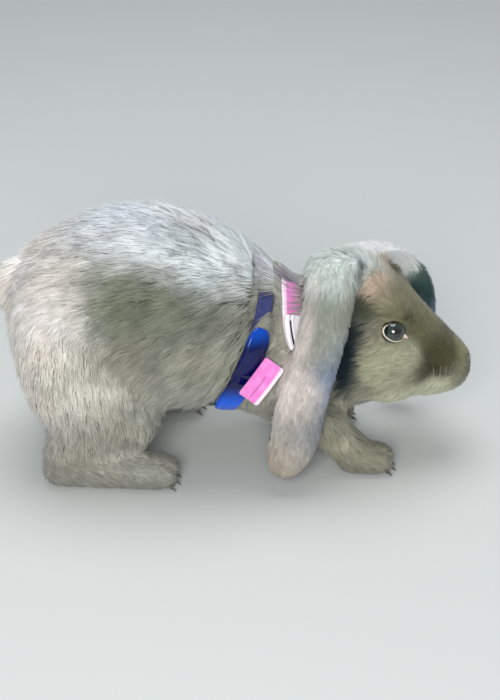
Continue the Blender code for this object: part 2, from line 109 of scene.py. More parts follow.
def look(thing, way):
    """A camera or a lamp turned to look along a direction."""
    thing.rotation_euler = way.to_track_quat("-Z", "Y").to_euler()


def make_camera():
    data = bpy.data.cameras.new("camera")
    data.sensor_width = SENSOR
    data.lens = SENSOR * DISTANCE / FRAME_HEIGHT
    camera = link("camera", data)
    back = Vector((0.0, -math.cos(ELEVATION), math.sin(ELEVATION)))
    camera.location = AIM + back * DISTANCE
    look(camera, -back)
    bpy.context.scene.camera = camera


def make_lamp(name, place, size, power, colour):
    data = bpy.data.lights.new(name, "AREA")
    data.shape = "DISK"
    data.size = size
    data.energy = power
    data.color = colour
    lamp = link(name, data)
    lamp.location = place
    look(lamp, AIM - Vector(place))


def make_stage():
    world = bpy.data.worlds.new("studio")
    world.use_nodes = True
    background = world.node_tree.nodes["Background"]
    background.inputs["Color"].default_value = SKY_COLOUR
    background.inputs["Strength"].default_value = SKY_STRENGTH
    bpy.context.scene.world = world
    bpy.context.scene.view_settings.view_transform = "Standard"
    for lamp in LAMPS:
        make_lamp(*lamp)
    shape = bmesh.new()
    bmesh.ops.create_circle(shape, cap_ends=True, radius=6.0, segments=96)
    floor = link("floor", from_bmesh("floor", shape))
    finish, _, shader = new_finish("pale_floor", {"Roughness": 0.8})
    shader.inputs["Base Color"].default_value = FLOOR_COLOUR
    floor.data.materials.append(finish)


# ---------------------------------------------------------------- meshes as arrays
def mesh_arrays(mesh):
    """Points, triangles, and the loops at the triangles' corners."""
    mesh.calc_loop_triangles()
    points = np.empty(len(mesh.vertices) * 3)
    mesh.vertices.foreach_get("co", points)
    corners, loops = (np.empty(len(mesh.loop_triangles) * 3, np.int32) for _ in range(2))
    mesh.loop_triangles.foreach_get("vertices", corners)
    mesh.loop_triangles.foreach_get("loops", loops)
    return points.reshape(-1, 3), corners.reshape(-1, 3), loops.reshape(-1, 3)


def fill(data, key, values):
    data.foreach_set(key, np.asarray(values, np.float32).ravel())


def hold(mesh, name, values):
    """Numbers, or vectors, kept on a mesh's points for its material to read."""
    kind, key = ("FLOAT", "value") if np.ndim(values) == 1 else ("FLOAT_VECTOR", "vector")
    fill(mesh.attributes.new(name, kind, "POINT").data, key, values)


def hold_colours(mesh, colours):
    """The coat's colours, kept on a mesh's points."""
    layer = mesh.color_attributes.new("coat", "FLOAT_COLOR", "POINT")
    fill(layer.data, "color", np.column_stack([colours, np.ones(len(colours))]))


def make_mesh(name, points, triangles):
    mesh = bpy.data.meshes.new(name)
    mesh.vertices.add(len(points))
    fill(mesh.vertices, "co", points)
    mesh.loops.add(triangles.size)
    mesh.loops.foreach_set("vertex_index", triangles.astype(np.int32).ravel())
    mesh.polygons.add(len(triangles))
    mesh.polygons.foreach_set("loop_start", np.arange(0, triangles.size, 3, dtype=np.int32))
    mesh.update(calc_edges=True)
    return mesh


def from_bmesh(name, shape):
    """A smooth mesh made from a bmesh, which is then gone."""
    mesh = bpy.data.meshes.new(name)
    shape.to_mesh(mesh)
    shape.free()
    mesh.shade_smooth()
    return mesh


def turn_outward(mesh):
    """A closed mesh's faces turned outward."""
    shape = bmesh.new()
    shape.from_mesh(mesh)
    bmesh.ops.recalc_face_normals(shape, faces=shape.faces)
    shape.to_mesh(mesh)
    shape.free()


def add_ball(shape, segments, rings, place):
    """A unit ball added to a bmesh, with each of its points moved by a function."""
    grown = bmesh.ops.create_uvsphere(shape, u_segments=segments, v_segments=rings, radius=1.0)
    for vert in grown["verts"]:
        vert.co = Vector(place(*vert.co))


def edges_of(triangles):
    pairs = np.concatenate([triangles[:, (0, 1)], triangles[:, (1, 2)], triangles[:, (2, 0)]])
    return np.unique(np.sort(pairs, axis=1), axis=0)


def gather(count, index, values):
    """Sums of rows of values that share an index."""
    return np.stack([np.bincount(index, column, count) for column in values.T], axis=1)


def neighbour_mean(field, edges):
    count, (first, second) = len(field), edges.T
    total = gather(count, first, field[second]) + gather(count, second, field[first])
    return total / np.maximum(np.bincount(edges.ravel(), minlength=count), 1)[:, None]


def blended(field, edges, passes):
    """A field over a mesh, drawn halfway to its neighbours' mean in each pass."""
    columns = field.reshape(len(field), -1)
    for _ in range(passes):
        columns = columns + (neighbour_mean(columns, edges) - columns) * 0.5
    return columns.reshape(field.shape)


def relaxed(points, edges, passes, share):
    """The same for points, each by its own share."""
    for _ in range(passes):
        points = toward(points, neighbour_mean(points, edges), 0.5 * share)
    return points


def evened(points, edges, passes):
    """Points smoothed without shrinking."""
    for _ in range(passes):
        points = points + (neighbour_mean(points, edges) - points) * 0.50
        points = points - (neighbour_mean(points, edges) - points) * 0.52
    return points


def normals_of(points, triangles):
    a, b, c = (points[triangles[:, k]] for k in range(3))
    faces = np.cross(b - a, c - a)
    return unit(sum(gather(len(points), triangles[:, k], faces) for k in range(3)))


def tree_of(points, triangles):
    return BVHTree.FromPolygons(points.tolist(), triangles.tolist())


# ---------------------------------------------------------------- the outline of the coat
EAR_SWELL = 0.00025      # closes the cut between an ear and the head
EAR_SHRINK = 0.0009      # how far the ears' outline is drawn in after that, to leave room for their tufts
SWELL = 0.0013           # closes the grooves between and in the other flesh solids
STRAP_SWELL = 0.0034     # fills the grooves that the straps lie in
THROAT_FILL = ((0.0700, 0.0, 0.0620), (0.0220, 0.0270, 0.0220))   # closes the groove across the throat
CROWN_FILL = ((0.0830, 0.0, 0.1450), (0.0230, 0.0250, 0.0120))    # closes the dip between the ears' roots
VOXEL = 0.0018           # grain at which they are fused
EVENING_PASSES = 6       # smoothing passes over the fused outline
BODY = ("trunk", "neck", "hind_leg", "foreleg")
BODY_PASSES = 24         # further smoothing passes over the body
# where the outline is melted together: centre, radii and passes
MELTED = ((THROAT_FILL[0], (0.028, 0.040, 0.030), 40), (CROWN_FILL[0], (0.036, 0.030, 0.020), 24))
HANGING = 0.12           # height below which the ears hang free and are not melted
EYE_SPOT = (0.006, 0.0145)   # a finer mesh round each eye: how far out its middle lies, and its radius
NOSE_SPOT = 0.017            # radius of that round the nose
EAR_FLAP = 0.0009        # swelling of the ear's front flap
EAR_CREASE = 0.0016      # depth of the crease behind it
EAR_LEVELS = np.linspace(0.012, 0.132, 25)   # heights at which an ear's width is read
EAR_BAND_HEIGHT = 0.009  # how far above and below each of them the ear's solid is measured
FEET = ("forepaw_right", "forepaw_left", "hind_foot_right", "hind_foot_left")
TOE_GROOVES = (-0.48, 0.0, 0.48)     # places of the grooves across a foot's half width
TOE_LENGTH = 0.017
TOE_DEPTH = 0.0021
TOE_HALF_GROOVE = 0.0024


def add_solids(shape, names, swell):
    """The named solids added to a bmesh, each a little swollen so that they overlap."""
    for name in names:
        piece = bmesh.new()
        piece.from_mesh(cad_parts[name].data)
        bmesh.ops.remove_doubles(piece, verts=piece.verts, dist=1e-5)
        piece.normal_update()
        for vert in piece.verts:
            vert.co += vert.normal * swell
        mesh = from_bmesh("solid", piece)
        shape.from_mesh(mesh)
        bpy.data.meshes.remove(mesh)


def fused(shape):
    made = link("fused", from_bmesh("fused", shape))
    remesh = made.modifiers.new("remesh", "REMESH")
    remesh.mode = "VOXEL"
    remesh.voxel_size = VOXEL
    result = bpy.data.meshes.new_from_object(made.evaluated_get(bpy.context.evaluated_depsgraph_get()))
    bpy.data.objects.remove(made)
    return result


def fine_spots():
    """Places on the head that need a finer mesh: centre and radius."""
    out, radius = EYE_SPOT
    return [(eye["centre"] + eye["axis"] * out, radius) for eye in EYES] + [(NOSE_TIP, NOSE_SPOT)]


def keep_outer_shell(shape):
    """A bmesh's largest connected part stays, without the walls of the hollows inside it."""
    left = set(shape.verts)
    parts = []
    while left:
        front = [left.pop()]
        part = list(front)
        while front:
            reached = {edge.other_vert(vert) for vert in front for edge in vert.link_edges} & left
            left -= reached
            front = list(reached)
            part += front
        parts.append(part)
    parts.sort(key=len)
    for part in parts[:-1]:
        bmesh.ops.delete(shape, geom=part, context="VERTS")


def refined(mesh):
    """The fused mesh, evened, with smaller faces round the eyes and the nose."""
    points, triangles, _ = mesh_arrays(mesh)
    fill(mesh.vertices, "co", evened(points, edges_of(triangles), EVENING_PASSES))
    shape = bmesh.new()
    shape.from_mesh(mesh)
    keep_outer_shell(shape)
    for shrink in (1.0, 0.85):
        chosen = [edge for edge in shape.edges
                  if any(all((vert.co - Vector(centre)).length < radius * shrink for vert in edge.verts)
                         for centre, radius in fine_spots())]
        bmesh.ops.subdivide_edges(shape, edges=chosen, cuts=1, use_grid_fill=True)
    bmesh.ops.triangulate(shape, faces=shape.faces)
    return from_bmesh("refined", shape)


def owners_at(points):
    """For each point, the name of the flesh solid that lies nearest to it."""
    solids, triangles, owners, offset = [], [], [], 0
    for number, name in enumerate(FLESH):
        solid, faces, _ = mesh_arrays(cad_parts[name].data)
        solids.append(solid)
        triangles.append(faces + offset)
        owners += [number] * len(faces)
        offset += len(solid)
    tree = tree_of(np.concatenate(solids), np.concatenate(triangles))
    return np.array(FLESH)[[owners[tree.find_nearest(Vector(point))[2]] for point in points]]


def kind_of(name):
    """What a flesh node is, without its side."""
    return name.rsplit("_", 1)[0] if name.endswith(("left", "right")) else name


def make_outline():
    """The coat's outline as one closed surface: the flesh solids fused, with their grooves filled."""
    solids = bmesh.new()
    ears = [name for name in FLESH if name.startswith("ear")]
    add_solids(solids, ears, EAR_SWELL)
    add_solids(solids, [name for name in FLESH if name not in ears] + ["eye_right", "eye_left"], SWELL)
    add_solids(solids, ("neck_strap", "girth_strap"), STRAP_SWELL)
    for centre, radii in (THROAT_FILL, CROWN_FILL):
        add_ball(solids, 32, 16, lambda *at: Vector(centre) + Vector([a * b for a, b in zip(at, radii)]))
    points, triangles, _ = mesh_arrays(refined(fused(solids)))
    edges = edges_of(triangles)
    owners = owners_at(points)
    on_ear = np.char.startswith(owners, "ear")
    shrink = blended(np.where(on_ear, EAR_SHRINK, SWELL - EAR_SWELL), edges, 6)
    points = points - normals_of(points, triangles) * shrink[:, None]
    body = blended(np.isin([kind_of(name) for name in owners], BODY) * 1.0, edges, 6)
    points = toward(points, evened(points, edges, BODY_PASSES), body)
    for centre, radii, passes in MELTED:
        spot = smoothstep(1.2, 0.8, distance_to(points, centre, radii))
        points = relaxed(points, edges, passes, spot * ~(on_ear & (points[:, 2] < HANGING)))
    fine = [smoothstep(radius * 1.1, radius * 0.9, distance_to(points, centre))
            for centre, radius in fine_spots()]
    points = relaxed(points, edges, 4, np.max(fine, axis=0))
    points = toe_relief(ear_relief(points, triangles, owners), triangles, owners)
    return points, triangles, edges, owners


def ear_relief(points, triangles, owners):
    """Each ear's outer face: a front flap that swells, and a crease behind it."""
    normals = normals_of(points, triangles)
    for name in ("ear_right", "ear_left"):
        solid = mesh_arrays(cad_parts[name].data)[0]
        bands = [solid[np.abs(solid[:, 2] - level) < EAR_BAND_HEIGHT, 0] for level in EAR_LEVELS]
        rear, front = (np.interp(points[:, 2], EAR_LEVELS, [end(band) for band in bands])
                       for end in (np.min, np.max))
        across = (points[:, 0] - rear) / (front - rear)
        hang = smoothstep(0.128, 0.104, points[:, 2]) * smoothstep(0.012, 0.035, points[:, 2])
        outward = smoothstep(0.2, 0.7, np.sign(points[:, 1]) * normals[:, 1])
        flap = smoothstep(0.42, 0.62, across) * smoothstep(1.02, 0.85, across)
        crease = smoothstep(0.13, 0.0, np.abs(across - 0.42))
        rise = (EAR_FLAP * flap - EAR_CREASE * crease) * hang * outward * (owners == name)
        points = points + normals * rise[:, None]
    return points


def toe_relief(points, triangles, owners):
    """Grooves between the four toes of each foot, over its front."""
    normals = normals_of(points, triangles)
    for foot in FEET:
        low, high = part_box(foot)
        middle, half = (low.y + high.y) / 2.0, (high.y - low.y) / 2.0
        ahead = smoothstep(high.x - TOE_LENGTH, high.x - TOE_LENGTH * 0.4, points[:, 0])
        upper = smoothstep(0.0015, 0.0060, points[:, 2])
        for groove in TOE_GROOVES:
            across = np.abs(points[:, 1] - middle - groove * half)
            push = TOE_DEPTH * smoothstep(TOE_HALF_GROOVE, 0.0, across) * ahead * upper * (owners == foot)
            points = points - normals * push[:, None]
    return points


# ---------------------------------------------------------------- the straps' places
STRAP_CENTRE = 0.0955    # height of the point that the straps go round
STRAP_SCAN = 0.0005      # spacing of the rays that find a strap's middle line
RAY_START = 0.2          # how far out they start
FACING = 0.5             # how much a face that counts has to look along its ray
STATIONS = 120           # places along a strap's line
LINE_PASSES = 4          # passes that even out a strap's line
NECK_WIDTH = 0.0160
GIRTH_WIDTH = 0.0110
NEAR_STRAP = 0.04        # how far round a strap points are measured from it
RIGHT_SIDE = -0.012      # across place beyond which stations lie on the right side


def evened_ring(rows):
    """Rows of values round a closed line, each drawn towards the rows beside it."""
    return (np.roll(rows, 1, axis=0) + rows * 2.0 + np.roll(rows, -1, axis=0)) / 4.0


def strap_line(name, width):
    """The middle line of a strap's outer face: places, directions out of the coat, and directions ahead."""
    points, triangles, _ = mesh_arrays(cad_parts[name].data)
    tree = tree_of(points, triangles)
    stretch = np.arange(points[:, 0].min(), points[:, 0].max(), STRAP_SCAN)
    places, outs = [], []
    for angle in turns(STATIONS):
        ray = Vector((0.0, math.cos(angle), math.sin(angle)))
        cast = [tree.ray_cast(Vector((x, 0.0, STRAP_CENTRE)) + ray * RAY_START, -ray) for x in stretch]
        faces = [(np.array(hit), np.array(out)) for hit, out, _, way in cast
                 if hit and way < RAY_START and out.dot(ray) > FACING]
        places.append(np.mean([hit for hit, _ in faces], axis=0))
        outs.append(np.mean([out for _, out in faces], axis=0))
    places, outs = np.array(places), np.array(outs)
    for _ in range(LINE_PASSES):
        places, outs = evened_ring(places), unit(evened_ring(outs))
    runs = unit(np.roll(places, -1, axis=0) - np.roll(places, 1, axis=0))
    outs = laid(outs, runs)
    aheads = unit(np.cross(runs, outs))
    return {"places": places, "outs": outs, "aheads": aheads * np.sign(aheads[:, :1]), "half": width / 2.0}


def ahead_of(strap, points):
    """How far points lie ahead of a strap's middle line, and the number of the nearest station."""
    offset = np.full(len(points), FAR)
    station = np.zeros(len(points), int)
    low, high = strap["places"].min(axis=0) - NEAR_STRAP, strap["places"].max(axis=0) + NEAR_STRAP
    near = np.flatnonzero(np.all((points > low) & (points < high), axis=1))
    for some in np.array_split(near, max(1, len(near) // 4000)):
        apart = points[some][:, None, :] - strap["places"][None]
        nearest = np.argmin(np.sum(apart * apart, axis=2), axis=1)
        station[some] = nearest
        offset[some] = np.sum(apart[np.arange(len(some)), nearest] * strap["aheads"][nearest], axis=1)
    return offset, station


def read_rows(rows, known, wanted):
    """Rows of values, known at some places along a line, read at others."""
    return np.stack([np.interp(wanted, known, column) for column in rows.T], axis=-1)


def along_strap(strap, top_z, low_z, count):
    """Places, outward directions and sideways directions down the right side of a strap."""
    right = np.flatnonzero(strap["places"][:, 1] < RIGHT_SIDE)
    order = right[np.argsort(strap["places"][right, 2])]
    heights = np.linspace(top_z, low_z, count)
    known = strap["places"][order, 2]
    places, outs = (read_rows(strap[key][order], known, heights) for key in ("places", "outs"))
    runs = unit(np.gradient(places, axis=0))
    outs = laid(unit(outs), runs)
    return places, outs, np.cross(runs, outs)


# ---------------------------------------------------------------- the eyes' places
EYE_AXIS = (0.30, 0.90, 0.30)      # the way an eye looks: forward, outward, up
EYE_RUN = (1.0, 0.0, -0.22)        # the way its opening runs forward
HALF_WIDTH = 0.0080                # the opening's half width
HALF_HEIGHTS = (0.0062, 0.0060)    # its half height above and below
CORNER_START, CORNER_END = 0.003, 0.0095   # how far forward it narrows towards its front corner
CORNER_DROP = 0.0016               # how far that corner lies lower
CORNER_LONGER = 0.0022             # how much further forward it reaches


def eye_frame(name, side):
    low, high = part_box(name)
    axis = unit(np.array(EYE_AXIS) * (1.0, side, 1.0))
    forward = unit(np.cross(np.cross(axis, EYE_RUN), axis))
    return {"name": name, "centre": np.array((low + high) / 2.0), "axis": axis, "forward": forward,
            "up": np.cross(forward, axis) * side, "radius": (high.z - low.z) / 2.0}


def eye_reach(eye, points):
    """How far points are from the middle of the eye's opening: 1 on the lids' edge."""
    away = points - eye["centre"]
    across, height = away @ eye["forward"], away @ eye["up"]
    corner = smoothstep(CORNER_START, CORNER_END, across)
    height = height + corner * CORNER_DROP
    half_height = np.where(height > 0.0, *HALF_HEIGHTS) * (1.0 - 0.25 * corner)
    reach = np.sqrt((across / (HALF_WIDTH + corner * CORNER_LONGER)) ** 2 + (height / half_height) ** 2)
    return np.where(away @ eye["axis"] > 0.0, reach, FAR)


def opening_reach(eye, points, kinds):
    """The same for places on the head; an ear that hangs over an eye is left alone."""
    return np.where(kinds == "ear", FAR, eye_reach(eye, points))


# ---------------------------------------------------------------- the skin
COAT_DEPTHS = {"trunk": 0.0120, "neck": 0.0090, "head": 0.0050, "tail": 0.0045, "ear": 0.0014,
               "hind_leg": 0.0070, "foreleg": 0.0055, "hind_foot": 0.0026, "forepaw": 0.0022}
FACE_DEPTHS = ((0.070, 0.0075), (0.095, 0.0050), (0.125, 0.0034), (0.148, 0.0022), (0.160, 0.0012))
EAR_ROOT_DEEPER = 0.0022   # how much deeper the coat is at an ear's root
DEPTH_BLEND_PASSES = 45    # smoothing passes that blend one part's depth into the next
SINK_STEPS = 10            # steps in which the skin sinks below the outline
DEEP = 0.012               # depth of coat over which the skin is smoothed most
LID_HEIGHT, LID_THICKER = 0.0009, 0.0008   # the lids over the eyeball: at least, and more round the opening
BEHIND_OPENING = 0.0016    # how far inside the eyeball the skin lies behind the opening
NOSTRIL = ((0.0040, 0.0016, 0.0048), (-0.0006, 0.0066, 0.0020))   # from the nose tip: front and rear end
CLEFT = ((0.0045, 0.0, 0.0030), (0.0010, 0.0, -0.0095))           # the same for the upper lip's cleft
MOUTH = ((0.0010, 0.0, -0.0100), (-0.0110, 0.0105, -0.0135))
SLITS = ((NOSTRIL, 0.0019, 0.0026), (MOUTH, 0.0018, 0.0018), (CLEFT, 0.0014, 0.0014))   # line, width, depth
SLIT_BARE = 0.0012       # how near a slit no hair grows
SLIT_SHORT = 0.0055      # how near it hair is short
SLIT_TINT = 0.0016       # how near it the skin is darker: brown skin and painted shade in the slit
LID_BARE = 1.30          # how near an eye's opening no hair grows, as a share of its reach
UNWRAP_ANGLE = math.radians(66)
UNWRAP_MARGIN = 0.002


def by_kind(points, kinds, values, along_face):
    """A length at each point: that of its part, or on the head that of its place along the face."""
    lengths = np.array([values[kind] for kind in kinds])
    on_head = kinds == "head"
    lengths[on_head] = np.interp(points[on_head, 0], *zip(*along_face))
    return lengths


def coat_depth(points, kinds, edges):
    at_root = (kinds == "ear") * smoothstep(0.110, 0.140, points[:, 2])
    depth = by_kind(points, kinds, COAT_DEPTHS, FACE_DEPTHS) + at_root * EAR_ROOT_DEEPER
    return blended(depth, edges, DEPTH_BLEND_PASSES)


def sunk(points, triangles, edges, depth):
    """The outline moved inward by the coat's depth, in small steps."""
    ease = np.clip(depth / DEEP, 0.15, 0.6)
    for _ in range(SINK_STEPS):
        points = points - normals_of(points, triangles) * (depth / SINK_STEPS)[:, None]
        points = toward(points, neighbour_mean(points, edges), ease)
    return points


def lid_mound(eye, points, kinds):
    """Skin drawn close over the eyeball, with an opening where the eye shows."""
    away = points - eye["centre"]
    distance = np.linalg.norm(away, axis=1)
    reach = opening_reach(eye, points, kinds)
    close = eye["radius"] + LID_HEIGHT + LID_THICKER * smoothstep(1.5, 1.15, reach)
    inside = eye["radius"] - BEHIND_OPENING
    target = inside + (close - inside) * smoothstep(0.98, 1.10, reach)
    wanted = distance + (target - distance) * smoothstep(2.3, 1.25, reach)
    return eye["centre"] + away * (wanted / distance)[:, None]


def to_segment(points, start, end):
    """Distance from points to a line between two places."""
    run = end - start
    share = np.clip((points - start) @ run / (run @ run), 0.0, 1.0)
    return np.linalg.norm(points - (start + share[:, None] * run), axis=1)


def slit_lines():
    """Each nostril, each side of the mouth and the lip's cleft: front end, rear end, width and depth."""
    return [(*(NOSE_TIP + np.array(end) * (1.0, side, 1.0) for end in line), width, depth)
            for line, width, depth in SLITS for side in (SIDES if line is not CLEFT else (1.0,))]


def to_slits(points):
    """Distance from points to the nearest of those lines."""
    return np.min([to_segment(points, start, end) for start, end, _, _ in slit_lines()], axis=0)


def face_details(points, triangles, kinds):
    for eye in EYES:
        points = lid_mound(eye, points, kinds)
    normals = normals_of(points, triangles)
    for start, end, width, depth in slit_lines():
        points = points - normals * (depth * smoothstep(width, 0.0, to_segment(points, start, end)))[:, None]
    return points


def make_skin(points, triangles):
    """The skin as an object, and where its unwrap puts the corners of each triangle."""
    mesh = make_mesh("skin", points, triangles)
    mesh.shade_smooth()
    made = link("skin", mesh)
    mesh.uv_layers.new(name="OFBake")
    bpy.context.view_layer.objects.active = made
    made.select_set(True)
    bpy.ops.object.mode_set(mode="EDIT")
    bpy.ops.mesh.select_all(action="SELECT")
    bpy.ops.uv.smart_project(angle_limit=UNWRAP_ANGLE, island_margin=UNWRAP_MARGIN)
    bpy.ops.object.mode_set(mode="OBJECT")
    flat = np.empty(len(mesh.loops) * 2)
    mesh.uv_layers["OFBake"].data.foreach_get("uv", flat)
    return made, flat.reshape(-1, 2)[mesh_arrays(mesh)[2]]


# ---------------------------------------------------------------- pieces swept along a path
SHARP = math.radians(50)   # angle from which an edge of a swept piece is sharp


def sweep(rings, closed):
    """Points and triangles of a tube through rings of points: closed to a ring, or capped at both ends."""
    count, around = rings.shape[:2]
    index = np.arange(count * around).reshape(count, around)
    shifts = ((0, 0), (0, -1), (-1, -1), (-1, 0))
    last = None if closed else -1
    a, b, c, d = (np.roll(index, shift, axis=(0, 1))[:last].ravel() for shift in shifts)
    triangles = [np.stack([a, b, c], axis=1), np.stack([a, c, d], axis=1)]
    points = rings.reshape(-1, 3)
    if not closed:
        points = np.concatenate([points, rings[[0, -1]].mean(axis=1)])
        hub = np.full(around, count * around)
        following = np.roll(index, -1, axis=1)
        triangles.append(np.stack([following[0], index[0], hub], axis=1))
        triangles.append(np.stack([index[-1], following[-1], hub + 1], axis=1))
    return points, np.concatenate(triangles)


def add_weave(mesh, triangles, along, across):
    """Distances along and across a strap, laid on a swept mesh as an unwrap."""
    flat = np.zeros((len(mesh.vertices), 2))
    ring_points = len(along) * len(across)
    flat[:ring_points, 0] = np.repeat(along, len(across))
    flat[:ring_points, 1] = np.tile(across, len(along))
    spread = flat[triangles]
    wraps = np.ptp(spread[:, :, 0], axis=1) > 0.5 * np.ptp(along)
    ends = spread[wraps, :, 0]
    spread[wraps, :, 0] = np.where(ends < 0.5 * along.max(), along.max() + along[1], ends)
    fill(mesh.uv_layers.new(name="weave").data, "uv", spread)


def swept(name, rings, closed, weave=None):
    """A tube as an object; weave gives each ring's place along it and each point's across."""
    points, triangles = sweep(np.asarray(rings), closed)
    mesh = make_mesh(name, points, triangles)
    if weave is not None:
        add_weave(mesh, triangles, *weave)
    mesh.shade_smooth()
    mesh.set_sharp_from_angle(angle=SHARP)
    return link(name, mesh)


def joined(name, bodies):
    """Many closed bodies, each given by its points and triangles, as one object."""
    starts = np.cumsum([0] + [len(points) for points, _ in bodies])
    points = np.concatenate([points for points, _ in bodies])
    triangles = np.concatenate([own + start for (_, own), start in zip(bodies, starts)])
    mesh = make_mesh(name, np.maximum(points, (-FAR, -FAR, FLOOR_CLEAR)), triangles)
    turn_outward(mesh)
    mesh.shade_smooth()
    return link(name, mesh)


def section_rings(centres, sides, outs, half_widths, half_heights, section):
    """A section, given as shares across and outward, placed at each centre."""
    wide = sides[:, None, :] * (half_widths[:, None] * section[None, :, 0])[:, :, None]
    high = outs[:, None, :] * (half_heights[:, None] * section[None, :, 1])[:, :, None]
    return centres[:, None, :] + wide + high


def finished(piece, finish):
    piece.data.materials.append(finish)
    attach(piece, "root")


# ---------------------------------------------------------------- finishes
PINK = linear(246, 128, 214)
PINK_LIGHT = linear(252, 176, 234)
PINK_EDGE = linear(250, 226, 240)
PINK_THREAD = linear(255, 214, 240)
NAVY = linear(22, 34, 92)
NAVY_LIGHT = linear(46, 62, 132)
NAVY_THREAD = linear(70, 92, 170)
BLUE_DARK = linear(0, 10, 68)
BLUE_PAINTED_GLOSS = linear(0, 92, 230)
BLUE_REFLECTION_FADE = (0.086, 0.064)       # heights between which a painted reflection brightens the buckle downward
BLUE_HIGHLIGHT_CREST = (0.1110, 0.1225)    # heights between which a painted highlight brightens it upward
WHITE = linear(238, 234, 240)
RIM_CREAM = linear(222, 212, 190)
RIM_DARK = linear(46, 40, 36)
CORNER_PINK = linear(226, 196, 190)
HORN = linear(92, 84, 76)
GRAIN = (np.full(3, 0.90), np.ones(3))   # darkest and brightest grain of the coat, as shares of its colour
WEAVE = 0.0011                           # distance over which the webbing's ribs repeat
PALE_EDGE = (-0.0045, -0.0058)   # across places between which the webbing turns pale at its rear edge
CLOUD = (0.3, 0.7)               # levels of noise between which a cloud of colour comes up
PUPIL_BLACK = linear(2, 2, 3)
IRIS_INNER = linear(22, 26, 20)
IRIS_DARK = linear(10, 26, 20)
IRIS_FIBRE = linear(42, 64, 50)
IRIS_RING = linear(6, 8, 10)
EYE_BROWN = linear(70, 54, 44)


def new_finish(name, values):
    """A material, its tree and its shader, with values set on the shader's sockets."""
    made = bpy.data.materials.new(name)
    made.use_nodes = True
    shader = made.node_tree.nodes["Principled BSDF"]
    for socket, value in values.items():
        shader.inputs[socket].default_value = value
    return made, made.node_tree, shader


def node(tree, kind, **values):
    made = tree.nodes.new(kind)
    for key, value in values.items():
        setattr(made, key, value)
    return made


def math_node(tree, operation, *values):
    made = node(tree, "ShaderNodeMath", operation=operation)
    for socket, value in zip(made.inputs, values):
        if isinstance(value, float):
            socket.default_value = value
        else:
            tree.links.new(value, socket)
    return made.outputs[0]


def held(tree, name, output="Fac"):
    """What a mesh holds on its points under a name."""
    return node(tree, "ShaderNodeAttribute", attribute_name=name).outputs[output]


def parts_of(tree, vector):
    made = node(tree, "ShaderNodeSeparateXYZ")
    tree.links.new(vector, made.inputs[0])
    return made.outputs


def object_place(tree):
    return node(tree, "ShaderNodeTexCoord").outputs["Object"]


def noise(tree, scale, detail, source=None):
    made = node(tree, "ShaderNodeTexNoise")
    made.inputs["Scale"].default_value = scale
    made.inputs["Detail"].default_value = detail
    tree.links.new(source or object_place(tree), made.inputs["Vector"])
    return made.outputs["Fac"]


def mixed(tree, share, first, second):
    """A blend of two colours, each a colour or a socket."""
    made = node(tree, "ShaderNodeMix", data_type="RGBA")
    tree.links.new(share, made.inputs[0])
    for socket, value in ((made.inputs[6], first), (made.inputs[7], second)):
        if isinstance(value, bpy.types.NodeSocket):
            tree.links.new(value, socket)
        else:
            socket.default_value = (*value, 1.0)
    return made.outputs[2]


def stepped(tree, value, low, high):
    made = node(tree, "ShaderNodeMapRange", interpolation_type="SMOOTHSTEP")
    made.inputs["From Min"].default_value = low
    made.inputs["From Max"].default_value = high
    tree.links.new(value, made.inputs["Value"])
    return made.outputs["Result"]


def cloudy(tree, scale, detail, dark, pale):
    """A colour that wavers between two, and the clouds that it follows."""
    cloud = stepped(tree, noise(tree, scale, detail), *CLOUD)
    return mixed(tree, cloud, dark, pale), cloud


def paint(tree, shader, colour):
    tree.links.new(colour, shader.inputs["Base Color"])


def bumped(tree, shader, height, distance, strength):
    made = node(tree, "ShaderNodeBump")
    made.inputs["Distance"].default_value = distance
    made.inputs["Strength"].default_value = strength
    tree.links.new(height, made.inputs["Height"])
    tree.links.new(made.outputs["Normal"], shader.inputs["Normal"])


def plain_finish(name, roughness, scale, detail, dark, pale, bump=None):
    """A finish that wavers between two colours: thread, horn, whiskers and bare skin."""
    made, tree, shader = new_finish(name, {"Roughness": roughness})
    colour, cloud = cloudy(tree, scale, detail, dark, pale)
    paint(tree, shader, colour)
    if bump:
        bumped(tree, shader, cloud, *bump)
    return made


def thread_finish(name, colour):
    return plain_finish(name, 0.55, 2600.0, 1.0, colour * 0.8, colour)


def coat_finish():
    """The colours held on the mesh, with a fine grain."""
    values = {"Roughness": 0.85, "Specular IOR Level": 0.15, "Sheen Weight": 0.25, "Sheen Roughness": 0.5}
    made, tree, shader = new_finish("coat", values)
    colour = node(tree, "ShaderNodeVertexColor", layer_name="coat")
    darker = node(tree, "ShaderNodeMix", data_type="RGBA", blend_type="MULTIPLY")
    darker.inputs[0].default_value = 1.0
    tree.links.new(colour.outputs["Color"], darker.inputs[6])
    tree.links.new(cloudy(tree, 700.0, 2.0, *GRAIN)[0], darker.inputs[7])
    paint(tree, shader, darker.outputs[2])
    return made


def webbing_finish(name, base, light, edge):
    """Woven tape: ribs across and along, with painted shade in their hollows, a soft pattern of wear, and a
    pale rear edge.
    """
    values = {"Roughness": 0.62, "Sheen Weight": 0.3, "Specular IOR Level": 0.35}
    made, tree, shader = new_finish(name, values)
    flat = parts_of(tree, node(tree, "ShaderNodeUVMap", uv_map="weave").outputs["UV"])
    along, across = flat["X"], flat["Y"]
    slants = [math_node(tree, way, along, across) for way in ("ADD", "SUBTRACT")]
    turned = [math_node(tree, "MULTIPLY", slant, 2.0 * math.pi / WEAVE) for slant in slants]
    ribs = [math_node(tree, "SINE", angle) for angle in turned]
    lifted = stepped(tree, math_node(tree, "MULTIPLY", *ribs), -0.8, 0.9)
    worn = math_node(tree, "MULTIPLY", stepped(tree, noise(tree, 160.0, 4.0), 0.35, 0.75), 0.45)
    # the ribs darker in their hollows: painted shade
    cloth = mixed(tree, worn, mixed(tree, lifted, base * 0.82, base), light)
    paint(tree, shader, mixed(tree, stepped(tree, across, *PALE_EDGE), cloth, edge))
    bumped(tree, shader, lifted, 0.00018, 0.8)
    return made


